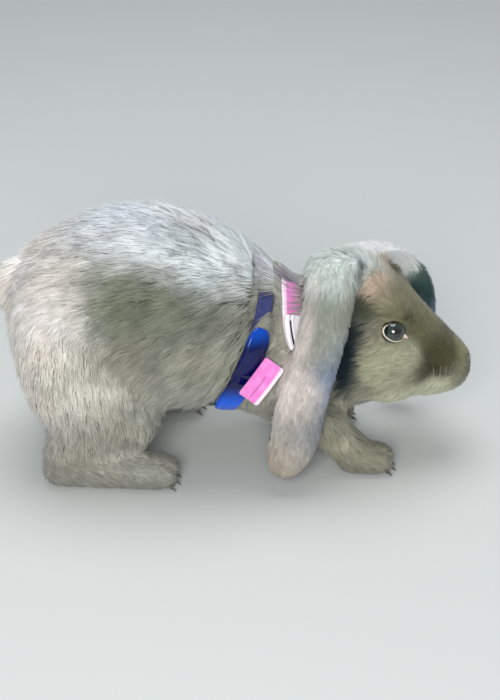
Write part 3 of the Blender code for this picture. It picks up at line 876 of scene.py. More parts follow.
def white_plastic_finish():
    """Moulded white: faint clouds in the colour, a surface that is not quite flat, and painted shade in its
    slit.
    """
    values = {"Roughness": 0.28, "Coat Weight": 0.6, "Coat Roughness": 0.08}
    made, tree, shader = new_finish("white_plastic", values)
    body, _ = cloudy(tree, 90.0, 3.0, WHITE * 0.9, WHITE)
    slit = stepped(tree, held(tree, "slit"), 0.25, 0.75)
    # painted shade down the slot
    paint(tree, shader, mixed(tree, slit, body, BLUE_DARK * 0.3))
    bumped(tree, shader, noise(tree, 600.0, 2.0), 0.00006, 0.35)
    return made


def blue_plastic_finish():
    """Glossy blue: nearly navy in the middle, with a painted highlight brightening the upper end and a
    painted reflection brightening the lower rounded end.
    """
    values = {"Roughness": 0.14, "Specular IOR Level": 0.15, "Coat Weight": 0.5, "Coat Roughness": 0.06}
    made, tree, shader = new_finish("blue_plastic", values)
    height = parts_of(tree, object_place(tree))["Z"]
    middle, _ = cloudy(tree, 90.0, 3.0, BLUE_DARK * 0.8, BLUE_DARK * 1.2)
    # painted highlight towards the upper end, then painted reflection towards the lower end
    upper = mixed(tree, stepped(tree, height, *BLUE_HIGHLIGHT_CREST), middle, BLUE_PAINTED_GLOSS * 0.48)
    paint(tree, shader, mixed(tree, stepped(tree, height, *BLUE_REFLECTION_FADE), upper, BLUE_PAINTED_GLOSS))
    bumped(tree, shader, noise(tree, 420.0, 2.0), 0.00006, 0.35)
    return made


def rim_finish():
    """The lids' rim, of moist bare skin: cream below and behind, dark along the upper lid, its dark skin
    darkened further by painted shade.
    """
    made, tree, shader = new_finish("lid_rim", {"Roughness": 0.30})
    cream, mottle = cloudy(tree, 900.0, 4.0, RIM_CREAM * 0.72, RIM_CREAM)
    paint(tree, shader, mixed(tree, held(tree, "pale"), RIM_DARK, cream))
    bumped(tree, shader, mottle, 0.00010, 0.5)
    return made


def eye_finish():
    """A glossy eye: black pupil, grey-green iris with fine rays, dark outer ring, brown beyond it."""
    values = {"Roughness": 0.06, "Specular IOR Level": 0.6, "Coat Weight": 1.0, "Coat Roughness": 0.02}
    made, tree, shader = new_finish("eye_gloss", values)
    gaze = parts_of(tree, held(tree, "gaze", "Vector"))
    x, y = gaze["X"], gaze["Y"]
    squares = math_node(tree, "ADD", *(math_node(tree, "MULTIPLY", value, value) for value in (x, y)))
    radius = math_node(tree, "ADD", math_node(tree, "SQRT", squares), gaze["Z"])
    rays = node(tree, "ShaderNodeCombineXYZ")
    tree.links.new(math_node(tree, "MULTIPLY", math_node(tree, "ARCTAN2", y, x), 5.0), rays.inputs[0])
    tree.links.new(math_node(tree, "MULTIPLY", radius, 260.0), rays.inputs[1])
    fibres = stepped(tree, noise(tree, 4.0, 4.0, rays.outputs[0]), 0.35, 0.68)
    colour = mixed(tree, fibres, IRIS_DARK, IRIS_FIBRE)
    colour = mixed(tree, stepped(tree, radius, PUPIL_RADIUS * 1.05, PUPIL_RADIUS * 1.9), IRIS_INNER, colour)
    colour = mixed(tree, stepped(tree, radius, IRIS_RADIUS * 0.76, IRIS_RADIUS * 0.96), colour, IRIS_RING)
    colour = mixed(tree, stepped(tree, radius, IRIS_RADIUS * 1.0, IRIS_RADIUS * 1.14), colour, EYE_BROWN)
    colour = mixed(tree, stepped(tree, radius, PUPIL_RADIUS * 0.94, PUPIL_RADIUS * 1.06), PUPIL_BLACK, colour)
    paint(tree, shader, colour)
    return made


# ---------------------------------------------------------------- the harness
BAND_THICKNESS = 0.0016
RIPPLE = 0.05            # how much a strap's thickness wavers along it
RIPPLE_TURNS = (210.0, 87.0)   # the two waves of that, in radians for each metre
RIPPLE_WIDE = 0.4        # how little its width wavers beside that, as a power
STITCH_STEP = 0.0030     # from one stitch to the next
STITCH_LENGTH = 0.0021
STITCH_ROW = 0.66        # place of a row, as a share of the strap's half width
THREAD = 0.00020         # radius of the thread
DIAMOND = np.array([(0, 2, 3), (0, 3, 4), (0, 4, 5), (0, 5, 2), (1, 3, 2), (1, 4, 3), (1, 5, 4), (1, 2, 5)])
FITTING_LIFT = 0.0009    # space between a strap and a fitting on it
SLIDER = {"strap": "neck", "top_z": 0.1210, "low_z": 0.1040, "half_width": 0.0092, "half_thickness": 0.0021}
BUCKLE = {"strap": "girth", "top_z": 0.1210, "low_z": 0.0570, "half_width": 0.0080, "half_thickness": 0.0031}
TAB_HALF_THICKNESS = 0.0014
TAB_BOW = 0.0006         # how far its middle bows outward
TAB_SLIT = 0.06          # half width of its slit, as a share of its own
PRONG = (0.0013, 0.0046, 0.0021)   # half sizes of a release prong: sideways, along and outward
PRONG_AT = 0.86                    # how far aside it lies, as a share of the buckle's half width
PRONG_STATION = 28                 # the buckle's station at its middle
SLIT_FLOOR = -0.2                  # height of the floor of the slider's slot, as a share of its thickness


def both_sides(half, *middle):
    """A section's points from one edge to its middle, and mirrored on to the other edge."""
    return (*half, *middle, *((-across, up) for across, up in reversed(half)))


# Sections, as shares of the half width and the half thickness: over the top, then back underneath
BAND_SECTION = np.array(
    both_sides(((1.0, 0.0), (1.0, 0.55), (0.975, 0.95), (0.93, 1.12), (0.88, 1.05), (0.84, 0.98),
                (0.45, 1.03)), (0.0, 1.05))
    + both_sides(((-0.975, -0.8), (-0.9, -1.0)), (0.0, -1.0)))
SLIDER_SECTION = np.array(
    ((1.0, 0.0), (0.99, 0.6), (0.94, 0.95), (0.86, 1.1), (0.78, 1.0), (0.70, 0.82), (0.30, 0.80),
     (-0.10, 0.82), (-0.36, 0.95), (-0.42, 1.08), (-0.46, 0.9), (-0.48, SLIT_FLOOR), (-0.64, SLIT_FLOOR),
     (-0.66, 0.9), (-0.70, 1.08), (-0.80, 1.1), (-0.94, 0.95), (-0.99, 0.6), (-1.0, 0.0))
    + both_sides(((-0.96, -0.8), (-0.80, -1.0)), (0.0, -1.0)))
BUCKLE_SECTION = np.array(
    both_sides(((1.0, 0.0), (0.985, 0.35), (0.93, 0.68), (0.84, 0.86), (0.76, 0.84), (0.70, 0.78),
                (0.60, 0.84), (0.35, 0.97)), (0.0, 1.0))
    + both_sides(((-0.93, -0.68), (-0.6, -0.9)), (0.0, -0.95)))
TAB_SECTION = np.array(
    both_sides(((1.0, 0.0), (0.98, 0.7), (0.92, 1.1), (0.86, 1.0), (0.30, 1.02), (0.09, 1.05), (0.05, 0.9),
                (0.03, -0.1)))
    + both_sides(((-0.96, -0.8), (-0.85, -1.0)), (0.0, -1.0)))
# Profiles along the fittings: shares of the way, and shares of the half width or thickness there
SLIDER_WIDE = ((0.0, 0.04, 0.12, 0.88, 0.96, 1.0), (0.86, 0.96, 1.0, 1.0, 0.96, 0.86))
SLIDER_THICK = ((0.0, 0.04, 0.10, 0.16, 0.84, 0.90, 0.96, 1.0), (0.5, 0.95, 1.1, 0.9, 0.9, 1.1, 0.95, 0.5))
BUCKLE_WIDE = ((0.0, 0.015, 0.05, 0.11, 0.20, 0.38, 0.43, 0.455, 0.50, 0.56, 0.80, 0.90, 0.96, 0.985, 1.0),
               (0.40, 0.62, 0.84, 0.97, 1.0, 1.0, 0.94, 0.76, 0.80, 0.97, 1.0, 0.93, 0.78, 0.60, 0.40))
BUCKLE_THICK = ((0.0, 0.02, 0.08, 0.16, 0.36, 0.42, 0.45, 0.48, 0.52, 0.60, 0.85, 0.94, 0.985, 1.0),
                (0.35, 0.62, 0.92, 1.0, 1.0, 0.92, 0.62, 0.66, 0.92, 1.0, 1.0, 0.86, 0.58, 0.30))
TAB_WIDE = ((-1.0, -0.96, -0.9, 0.9, 0.97, 1.0), (0.90, 0.97, 1.0, 1.0, 0.97, 0.90))
TAB_THICK = ((-1.0, -0.95, 0.95, 1.0), (0.45, 1.0, 1.0, 0.45))


def make_strap(node_name, strap, finish, thread):
    """A strap of webbing: flat faces, a raised selvage along each edge, and two rows of stitches."""
    places, outs, aheads = strap["places"], strap["outs"], strap["aheads"]
    steps = np.roll(places, -1, axis=0) - places
    along = np.concatenate([[0.0], np.cumsum(np.linalg.norm(steps, axis=1))[:-1]])
    fine, coarse = RIPPLE_TURNS
    ripple = 1.0 + RIPPLE * np.sin(along * fine) * np.sin(along * coarse)
    half = BAND_THICKNESS / 2.0
    section = BAND_SECTION
    half_widths = strap["half"] * ripple ** RIPPLE_WIDE
    rings = section_rings(places - outs * half, aheads, outs, half_widths, half * ripple, section)
    if np.sum(np.cross(aheads, outs) * steps, axis=1).mean() > 0.0:
        rings, section = rings[:, ::-1], section[::-1]
    piece = swept(node_name + "_webbing", rings, True, (along, section[:, 0] * strap["half"]))
    finished(piece, finish)
    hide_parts(node_name)
    make_stitches(node_name + "_stitches", strap, along, thread)


def make_stitches(name, strap, along, thread):
    """Two rows of raised thread along a strap, each stitch a long diamond."""
    loop = np.append(along, along[-1] + along[1])
    starts = np.arange(0.0, loop[-1] - STITCH_STEP, STITCH_STEP)

    def at(key, wanted):
        return read_rows(np.concatenate([strap[key], strap[key][:1]]), loop, wanted)

    out, ahead = at("outs", starts), at("aheads", starts)
    stitches = []
    for row in (-STITCH_ROW, STITCH_ROW):
        first, last = (at("places", ends) + at("aheads", ends) * row * strap["half"]
                       for ends in (starts, starts + STITCH_LENGTH))
        middle = (first + last) / 2.0 + out * THREAD
        corners = (first - out * THREAD, last - out * THREAD, middle + ahead * THREAD, middle + out * THREAD,
                   middle - ahead * THREAD, middle - out * THREAD * 2.0)
        stitches += [(points, DIAMOND) for points in np.stack(corners, axis=1)]
    finished(joined(name, stitches), thread)


def fitting_rings(fitting, wide, thick, section, count):
    """Rings of a fitting down its strap, with the centres, sides and outward directions of their places."""
    share = np.linspace(0.0, 1.0, count)
    places, outs, sides = along_strap(STRAPS[fitting["strap"]], fitting["top_z"], fitting["low_z"], count)
    centres = places + outs * (FITTING_LIFT + fitting["half_thickness"])
    half_widths = fitting["half_width"] * np.interp(share, *wide)
    half_heights = fitting["half_thickness"] * np.interp(share, *thick)
    return section_rings(centres, sides, outs, half_widths, half_heights, section), centres, sides, outs


def swept_outward(name, rings, closed, weave=None):
    piece = swept(name, rings, closed, weave)
    turn_outward(piece.data)
    return piece


def make_slider():
    """A flat plastic slider with a raised rim; the mesh holds where the slot down its rear side is deep, for
    painted shade there.
    """
    count = 25
    _, _, sides = along_strap(STRAPS["neck"], SLIDER["top_z"], SLIDER["low_z"], count)
    section = SLIDER_SECTION * (np.sign(sides[0, 0]), 1.0)
    rings, _, _, _ = fitting_rings(SLIDER, SLIDER_WIDE, SLIDER_THICK, section, count)
    piece = swept_outward("slider", rings, False)
    share = np.linspace(0.0, 1.0, count)
    in_slot = smoothstep(0.10, 0.16, share) * smoothstep(0.90, 0.84, share)
    hold(piece.data, "slit", np.append(np.outer(in_slot, section[:, 1] == SLIT_FLOOR), (0.0, 0.0)))
    finished(piece, white_plastic_finish())
    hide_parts("strap_slider")


def make_buckle():
    """A side-release buckle: two rounded halves with a rim, a waist between them, and two release prongs."""
    count = 61
    rings, centres, sides, outs = fitting_rings(BUCKLE, BUCKLE_WIDE, BUCKLE_THICK, BUCKLE_SECTION, count)
    piece = swept_outward("buckle", rings, False)
    finished(piece, blue_plastic_finish())
    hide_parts("girth_buckle")
    centre, side, out = (rows[PRONG_STATION] for rows in (centres, sides, outs))
    run = np.cross(out, side)
    wide, long, high = PRONG
    prongs = bmesh.new()
    for sign in SIDES:
        aside = sign * PRONG_AT * BUCKLE["half_width"]
        add_ball(prongs, 16, 10, lambda x, y, z: (centre + side * (aside + x * wide) + run * (y * long)
                                                  + out * (z * high)))
    pair = link("buckle_prongs", from_bmesh("buckle_prongs", prongs))
    finished(pair, blue_plastic_finish())


def make_tab():
    """The strap's folded free end: two layers of webbing with a slit between them at the end."""
    points = mesh_arrays(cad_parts["strap_tab"].data)[0]
    centre = points.mean(axis=0)
    _, _, axes = np.linalg.svd(points - centre)
    run = axes[0] * -np.sign(axes[0][2])
    out = axes[2] * -np.sign(axes[2][1])
    side = np.cross(run, out)
    reach, half = (np.abs((points - centre) @ way).max() for way in (run, side))
    share = np.linspace(-1.0, 1.0, 31)
    bow = TAB_BOW * np.cos(share * 2.2)
    centres = centre + run * (share * reach)[:, None] + out * bow[:, None]
    wide = half * np.interp(share, *TAB_WIDE)
    thick = np.interp(share, *TAB_THICK) * TAB_HALF_THICKNESS
    sides, outs = (np.tile(way, (len(share), 1)) for way in (side, out))
    rings = section_rings(centres, sides, outs, wide, thick, TAB_SECTION)
    shut = np.clip(smoothstep(-0.20, -0.35, share) + smoothstep(0.78, 0.88, share), 0.0, 1.0)
    top = centres + out * thick[:, None] * 1.02
    for k in np.flatnonzero(np.abs(TAB_SECTION[:, 0]) < TAB_SLIT):
        rings[:, k] = toward(rings[:, k], top + side * (TAB_SECTION[k, 0] * half), shut)
    piece = swept_outward("tab", rings, False, ((share + 1.0) * reach, TAB_SECTION[:, 0] * half))
    finished(piece, webbing_finish("tab_webbing", PINK, PINK_LIGHT, PINK_EDGE))
    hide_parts("strap_tab")


# ---------------------------------------------------------------- eyes and lids
IRIS_RADIUS = 0.0076
PUPIL_RADIUS = 0.0030
CORNEA_RISE = 0.0007
LID_RIM = 0.00030        # half width of the lids' bare rim
RIM_LIFT, RIM_BULGE = 0.00010, 0.00042   # how far the rim lies out of the eyeball, and half its thickness
CORNER = (0.0086, -0.0018, 0.0034)   # the eye's front corner: forward, up and outward of the eye's middle
CORNER_SIZE = (0.0025, 0.0013, 0.0010)


def on_eye(eye, turn, flat):
    """A place on the eyeball, given on the plane of its opening by a direction and a distance."""
    depth = math.sqrt(max(eye["radius"] ** 2 - flat * flat, (0.12 * eye["radius"]) ** 2))
    across, height = math.cos(turn) * flat, math.sin(turn) * flat
    return eye["centre"] + eye["forward"] * across + eye["up"] * height + eye["axis"] * depth


def make_eye(eye):
    """The eyeball with its bulging cornea; the pattern of the iris follows the distance from its axis."""
    shape = bmesh.new()
    add_ball(shape, 64, 48, lambda *at: at)
    mesh = from_bmesh(eye["name"] + "_ball", shape)
    ball = mesh_arrays(mesh)[0]
    front = ball[:, 2] > 0.0
    from_axis = np.linalg.norm(ball[:, :2], axis=1) * eye["radius"]
    bulge = CORNEA_RISE * smoothstep(IRIS_RADIUS * 1.08, 0.0, from_axis) * front
    sized = ball * (eye["radius"] + bulge)[:, None]
    side = np.cross(eye["up"], eye["axis"])
    points = eye["centre"] + sized[:, :1] * side + sized[:, 1:2] * eye["up"] + sized[:, 2:] * eye["axis"]
    fill(mesh.vertices, "co", points)
    hold(mesh, "gaze", np.stack([sized[:, 0], sized[:, 1], np.where(front, 0.0, 1.0)], axis=1))
    turn_outward(mesh)
    piece = link(mesh.name, mesh)
    finished(piece, eye_finish())
    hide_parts(eye["name"])


def rim_reach(eye, turn):
    """The distance from the opening's middle to the lids' edge, in a direction on its plane."""
    low, high = 0.002, eye["radius"] * 1.12
    for _ in range(24):
        middle = (low + high) / 2.0
        inside = eye_reach(eye, on_eye(eye, turn, middle)[None])[0] < 1.0
        low, high = (middle, high) if inside else (low, middle)
    return min(low, eye["radius"] * 0.985)


def make_rim(eye):
    """The bare rim of the lids: thicker and paler below."""
    around = turns(12)
    rings, pale = [], []
    for turn in turns(72):
        low = 0.5 - 0.5 * math.sin(turn)
        pale += [smoothstep(0.20, 0.62, low - 0.16 * math.cos(turn))] * len(around)
        reach, width = rim_reach(eye, turn), LID_RIM * (0.75 + 0.55 * low)
        inner, outer = (on_eye(eye, turn, reach + way * width) for way in SIDES)
        centre = (inner + outer) / 2.0
        sideways = (outer - inner) / 2.0
        out = unit(centre - eye["centre"])
        rings.append([centre + sideways * math.cos(spin) + out * (RIM_LIFT + RIM_BULGE * math.sin(spin))
                      for spin in around])
    piece = swept_outward(eye["name"] + "_lid_rim", rings, True)
    hold(piece.data, "pale", pale)
    finished(piece, rim_finish())


def make_corner(eye):
    """The corner of pale skin at the front of the eye."""
    forward, up, axis = (eye[key] for key in ("forward", "up", "axis"))
    spot = eye["centre"] + forward * CORNER[0] + up * CORNER[1] + axis * CORNER[2]
    run = forward * 0.95 + up * -0.30
    long, high, thick = CORNER_SIZE
    shape = bmesh.new()
    add_ball(shape, 24, 16, lambda x, y, z: (spot + run * (x * long) + up * (y * high * (1.0 - 0.35 * x))
                                             + axis * (z * thick)))
    mesh = from_bmesh(eye["name"] + "_corner", shape)
    turn_outward(mesh)
    finish = plain_finish("eye_corner", 0.32, 900.0, 4.0, CORNER_PINK * 0.72, CORNER_PINK, (0.00010, 0.5))
    finished(link(mesh.name, mesh), finish)


# ---------------------------------------------------------------- claws and whiskers
CLAW_TOES = (-1.0, -0.36, 0.36, 1.0)   # places of the claws across a foot
CLAW_ROOT = 0.0042       # height of a claw's root
CLAW_LENGTH = 0.0046
CLAW_RADIUS = 0.0010
WHISKER = 0.00011        # radius at the root
WHISKER_CLEAR = 0.005    # space between a whisker's end and any skin ahead of it
WHISKER_LENGTHS = (0.022, 0.034)
WHISKER_SAG = (-0.45, 0.0, -0.26)   # how far its end hangs back and down, as shares of its length
CHEEK_WHISKERS, BROW_WHISKERS = 12, 2
BROW_SIZE = 0.6          # length of a brow whisker, as a share of one on the cheek


def claw_rings(root, toe):
    share = np.linspace(0.0, 1.0, 7)
    reach = np.stack([share * CLAW_LENGTH, share * toe * 0.0012, -0.0030 * share ** 2.0], axis=1)
    size = CLAW_RADIUS * np.sqrt(1.0 - share ** 1.6 * 0.985)
    turn = turns(8)
    ring = np.stack([np.zeros(8), np.cos(turn), np.sin(turn) * 1.25], axis=1)
    return (root + reach)[:, None, :] + ring[None] * size[:, None, None]


def make_claws():
    """Four curved claws at the front of each foot."""
    claws = []
    for foot in FEET:
        low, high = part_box(foot)
        middle, half = (low.y + high.y) / 2.0, (high.y - low.y) / 2.0
        for toe in CLAW_TOES:
            root = np.array([high.x - 0.0035 - 0.0035 * toe * toe, middle + toe * half * 0.72, CLAW_ROOT])
            claws.append(sweep(claw_rings(root, toe), False))
    finish = plain_finish("horn", 0.38, 500.0, 3.0, HORN * 0.5, HORN * 1.3)
    finished(joined("claws", claws), finish)


def whisker_starts(side):
    """Places beside the face from which whiskers are sought inward, and the size of each."""
    starts = [((0.1510 - 0.0042 * (i % 4), side * 0.05, 0.0790 - 0.0038 * (i // 4)), 1.0)
              for i in range(CHEEK_WHISKERS)]
    if side < 0.0:      # the left ear lies close over the left eye
        starts += [((0.1090 + 0.0040 * i, side * 0.06, 0.1240), BROW_SIZE) for i in range(BROW_WHISKERS)]
    return starts


def whisker_rings(centres, way):
    up = unit(np.cross(way, [1.0, 0.0, 0.2]))
    turn = turns(4)[:, None]
    ring = np.cos(turn) * up + np.sin(turn) * np.cross(way, up)
    thick = WHISKER * (1.0 - 0.9 * np.linspace(0.0, 1.0, len(centres)))
    return centres[:, None, :] + ring[None] * thick[:, None, None]


def make_whiskers():
    """Fine whiskers from the cheeks and over the right eye; those that would meet skin are left out."""
    random = np.random.default_rng(SEED)
    skin_tree = tree_of(skin_points, triangles)
    share = np.linspace(0.0, 1.0, 9)[:, None]
    whiskers = []
    for side in SIDES:
        for start, size in whisker_starts(side):
            start = start + random.normal(0.0, 0.0006, 3)
            hit, out, _, _ = skin_tree.ray_cast(Vector(start), Vector((0.0, -side, 0.0)))
            if hit is None:
                continue
            length = random.uniform(*WHISKER_LENGTHS) * size
            way = unit(np.array([0.05, side * 1.0, 0.18]) + np.array(out) * 0.5 + random.normal(0.0, 0.10, 3))
            sag = np.array(WHISKER_SAG) * length
            centres = np.array(hit) + share * way * length + share ** 2 * sag
            path = Vector(centres[-1] - centres[1])
            if not skin_tree.ray_cast(Vector(centres[1]), path.normalized(), path.length + WHISKER_CLEAR)[0]:
                whiskers.append(sweep(whisker_rings(centres, way), False))
    finish = plain_finish("whisker", 0.4, 300.0, 2.0, linear(120, 118, 108), linear(214, 212, 204))
    finished(joined("whiskers", whiskers), finish)


# ---------------------------------------------------------------- markings, with painted light and shade
BODY_BASE = linear(162, 161, 150)
HEAD_BASE = linear(152, 150, 132)
EAR_REAR = linear(222, 211, 205)
EAR_FRONT = linear(134, 152, 178)
EAR_TIP = linear(182, 170, 154)
EAR_ROOT = linear(154, 159, 146)
EAR_BAND = linear(146, 148, 144)
EAR_CROWN = linear(222, 232, 226)
NOSE_PINK = linear(150, 118, 108)
SLIT_SHADE_BROWN = linear(58, 40, 36)
EAR_SHADE_TEAL = linear(32, 74, 66)
FAR_SHADE = ((0.140, 0.040, 0.108), (0.018, 0.014, 0.024))   # painted shade on the far ear's front edge, where its inner side lies in shadow: centre, radii
NOSE_PAD = (0.002, 0.0, 0.002)     # middle of the bare nose, from the nose tip
SKIN_SHADE = 0.75                  # the skin's brightness beside the tufts': darker underfur and painted shade deep in the coat
# Soft patches over the coat, alike on both sides, some of them painted light or shade: centre along and
# height, radii, colour and strength
BODY_PATCHES = (
    ((-0.140, 0.115), (0.064, 0.074), linear(238, 231, 225), 0.95),     # rump and haunch
    ((-0.105, 0.090), (0.040, 0.030), linear(222, 218, 202), 0.80),     # lower haunch
    ((-0.048, 0.143), (0.060, 0.034), linear(116, 122, 106), 0.95),     # side: darker coat, its green tint a painted reflection
    ((-0.050, 0.108), (0.058, 0.024), linear(138, 138, 126), 0.80),     # lower side
    ((0.004, 0.130), (0.034, 0.026), linear(126, 127, 116), 0.85),      # shoulder
    ((-0.015, 0.100), (0.036, 0.020), linear(158, 158, 143), 0.80),     # chest
    ((-0.050, 0.198), (0.130, 0.031), linear(220, 226, 231), 0.95),     # back: pale coat, made paler and bluer by painted light from above
    ((0.018, 0.167), (0.052, 0.026), linear(222, 228, 229), 0.92),      # withers: pale coat, made paler by painted light from above
    ((-0.170, 0.127), (0.014, 0.018), linear(236, 232, 226), 0.90),     # tail
    ((0.031, 0.149), (0.013, 0.015), linear(120, 106, 136), 0.75),      # painted purple shade on the neck, between the straps
)
HEAD_PATCHES = (
    ((0.078, 0.166), (0.056, 0.024), linear(232, 240, 233), 0.95),      # crown
    ((0.098, 0.140), (0.015, 0.011), linear(216, 194, 172), 0.92),      # forehead, pinkish brown
    ((0.106, 0.129), (0.016, 0.012), linear(124, 121, 96), 0.80),       # brow
    ((0.128, 0.114), (0.024, 0.024), linear(117, 114, 76), 0.85),       # bridge of the nose
    ((0.087, 0.128), (0.012, 0.014), linear(62, 72, 58), 0.88),         # temple
    ((0.144, 0.087), (0.021, 0.018), linear(79, 78, 48), 0.92),         # muzzle: dark coat, its olive-green tint a painted reflection
    ((0.162, 0.084), (0.010, 0.013), linear(157, 156, 114), 0.80),      # nose
    ((0.104, 0.086), (0.023, 0.022), linear(192, 192, 163), 0.94),      # cheek
    ((0.128, 0.056), (0.036, 0.015), linear(224, 226, 192), 0.94),      # chin
    ((0.078, 0.088), (0.012, 0.038), linear(8, 36, 48), 0.98),          # painted shade in the hollow behind the ear
)
# Noise: strength, size and seed of each layer
WAVES = ((0.006, 0.020, 7), (0.003, 0.008, 8))                       # bends the patches' edges, in metres
MOTTLES = ((0.10, 0.026, 6), (0.09, 0.012, 3), (0.07, 0.005, 4))     # brightness
WARMTHS = ((0.03, 0.022, 5),)                                        # from bluish to reddish


def lattice_noise(points, size, seed):
    """Smooth noise from -1 to 1 that varies over about the given size."""
    place = points / size
    cell = np.floor(place).astype(np.int64)
    part = place - cell
    part = part * part * (3.0 - 2.0 * part)
    total = np.zeros(len(points))
    for corner in np.ndindex(2, 2, 2):
        node = cell + corner
        mixed = (node[:, 0] * 73856093) ^ (node[:, 1] * 19349663) ^ (node[:, 2] * 83492791) ^ (seed * 2654435)
        mixed = (mixed ^ (mixed >> 13)) * 1274126177 & 0x7FFFFFFF
        mixed = ((mixed ^ (mixed >> 16)) & 0xFFFF) / 32767.5 - 1.0
        total += mixed * np.prod(np.where(np.array(corner) == 1, part, 1.0 - part), axis=1)
    return total


def layered(points, layers, start=0.0):
    """A starting value with layers of noise added."""
    return sum((strength * lattice_noise(points, size, seed) for strength, size, seed in layers), start)


def patched(points, colour, patches):
    for centre, radii, patch, strength in patches:
        reach = distance_to(points[:, (0, 2)], centre, radii)
        colour = toward(colour, patch, strength * smoothstep(1.30, 0.40, reach))
    return colour


def ear_markings_and_painted_light(points, kinds, colour):
    """Ears: grey at the root, a bluish front flap, a beige tip, and a grey band between them; a pale top
    band, made lighter on the far ear by painted light, and painted shade on the far ear's front edge.
    """
    slant = points[:, 0] - 0.16 * (points[:, 2] - 0.05)
    flap = smoothstep(0.040, 0.062, slant)[:, None]
    far = points[:, 1] > 0.0
    high = smoothstep(0.085, 0.130, points[:, 2]) * (1.0 - 0.8 * smoothstep(0.046, 0.034, slant))
    # the ears' pale top band; on the far ear it reaches lower, as painted light
    top = smoothstep(np.where(far, 0.100, 0.138), np.where(far, 0.130, 0.164), points[:, 2])
    ear = EAR_REAR * (1.0 - flap) + EAR_FRONT * flap
    ear = toward(ear, EAR_TIP, smoothstep(0.070, 0.015, points[:, 2]))
    ear = toward(ear, EAR_BAND, 0.6 * smoothstep(0.026, 0.0, np.abs(points[:, 2] - 0.052)))
    ear = toward(ear, EAR_ROOT, high)
    # pale top band, made lighter on the far ear and darker on the near one: painted light
    ear = toward(ear, EAR_CROWN * np.where(far, 1.35, 0.95)[:, None], top)
    # painted shade over the far ear's front edge
    ear = toward(ear, EAR_SHADE_TEAL, 0.9 * smoothstep(1.2, 0.6, distance_to(points, *FAR_SHADE)))
    return np.where((kinds == "ear")[:, None], ear, colour)


def markings_and_painted_light(points, kinds):
    """The coat's colour at places on the outline, with its painted light and shade, shared by skin and tufts.
    """
    blank = np.ones_like(points)
    bent = points + layered(points, WAVES)[:, None]
    head = smoothstep(0.052, 0.066, points[:, 0])[:, None]
    body_colour = patched(bent, blank * BODY_BASE, BODY_PATCHES)
    head_colour = patched(bent, blank * HEAD_BASE, HEAD_PATCHES)
    colour = ear_markings_and_painted_light(bent, kinds, body_colour * (1.0 - head) + head_colour * head)
    warmth = layered(points, WARMTHS)
    tone = 1.0 + np.stack([warmth, 0 * warmth, -warmth], axis=1)
    colour = colour * layered(points, MOTTLES, 1.0)[:, None] * tone
    pad = smoothstep(0.0065, 0.0035, np.linalg.norm(points - NOSE_TIP - NOSE_PAD, axis=1))
    colour = toward(colour, NOSE_PINK, 0.55 * pad)
    # brown skin and painted shade in the nostrils, the mouth line and the lip's cleft
    slit = smoothstep(SLIT_TINT, 0.0, to_slits(points))
    return np.clip(toward(colour, SLIT_SHADE_BROWN, 0.8 * slit), 0.01, 0.95)


# ---------------------------------------------------------------- how the coat lies
LENGTHS = {"trunk": 0.0230, "neck": 0.0180, "head": 0.0085, "tail": 0.0140, "ear": 0.0058,
           "hind_leg": 0.0130, "foreleg": 0.0110, "hind_foot": 0.0058, "forepaw": 0.0048}
FACE_LENGTHS = ((0.070, 0.0150), (0.095, 0.0100), (0.125, 0.0068), (0.148, 0.0045), (0.160, 0.0022))
EAR_ROOT_LONGER = 0.0045   # how much longer hair is at an ear's root
LENGTH_PASSES = 25       # smoothing passes over the hair's length
WAY_PASSES = 40          # smoothing passes over its way, before it is parted round the eyes
BACK_DOWN = (-1.0, 0.0, -0.2)   # the way of an ear's hair where it would point upward
SWIRLS = (((0.0830, -0.0300, 0.1500), 0.014, 0.9), ((0.1000, 0.0280, 0.1440), 0.014, -0.9))
STRAP_CLEAR = 0.0005     # bare space along a strap's edges
UNDER_STRAP = 0.0021     # depth below a strap's outer face at which hair comes out behind it
EMERGING = (0.006, 0.013)  # how far such a hair goes on
OVER_START = 0.0035      # least distance in front of a strap of a root whose hair lies over it
OVER_STRAP = 0.0007      # height at which such a hair crosses the strap's front edge
LYING_OVER = (0.012, 0.021)  # how far it goes on
# Heights between which the girth strap turns bare on the right side: upward, and again downward
BARE_GIRTH = ((0.1255, 0.1310), (0.1415, 0.1375))
BRIDGE = 0.0012          # height over the outline from which a hair across a hollow is cut short
BRIDGE_CUT = 0.4         # share of its length that is left then
TIP_LEAN = 0.25          # how much the skin's direction adds to the outline's at the tips
MIDDLE_SHARE = 0.45      # place of a hair's middle on the way to its tip
MIDDLE_RISE = 0.35       # how much it stands out there, as a share of the coat's depth
SHOWN = 0.6              # share of a hair's length, from its root, at which its colour is seen


def lie_of(points, kinds):
    """The way the hair points, before it is laid along the skin."""
    x, y, z = points.T
    side = np.sign(y)

    def way(ahead, across, up):
        return np.stack(np.broadcast_arrays(ahead, across, up, x)[:3], axis=1)

    low = smoothstep(0.150, 0.060, z)
    rump = smoothstep(-0.110, -0.160, x)
    flank = smoothstep(0.170, 0.130, z)
    rear = smoothstep(0.135, 0.085, x)
    over = smoothstep(0.046, 0.026, np.abs(y)) * smoothstep(0.118, 0.138, z)
    trunk = way(-1.0 + 0.55 * rump, 0.10 * side, -0.12 - 0.38 * flank - 0.40 * low - 0.40 * rump)
    leg = way(0.15, 0.0, -1.0)
    foot = way(1.0, 0.0, -0.25)
    ways = {"trunk": trunk, "neck": trunk, "hind_leg": leg, "foreleg": leg,
            "hind_foot": foot, "forepaw": foot, "tail": way(-0.7, 0.3 * side, 0.5),
            "head": way(-1.0, 0.25 * side * rear, 0.45 - 0.75 * rear - 0.6 * smoothstep(0.09, 0.05, z)),
            "ear": way(-0.12, side * (0.10 + 1.2 * over), -1.0 + 0.95 * over)}
    result = np.zeros_like(points)
    for kind, rows in ways.items():
        result[kinds == kind] = rows[kinds == kind]
    return result


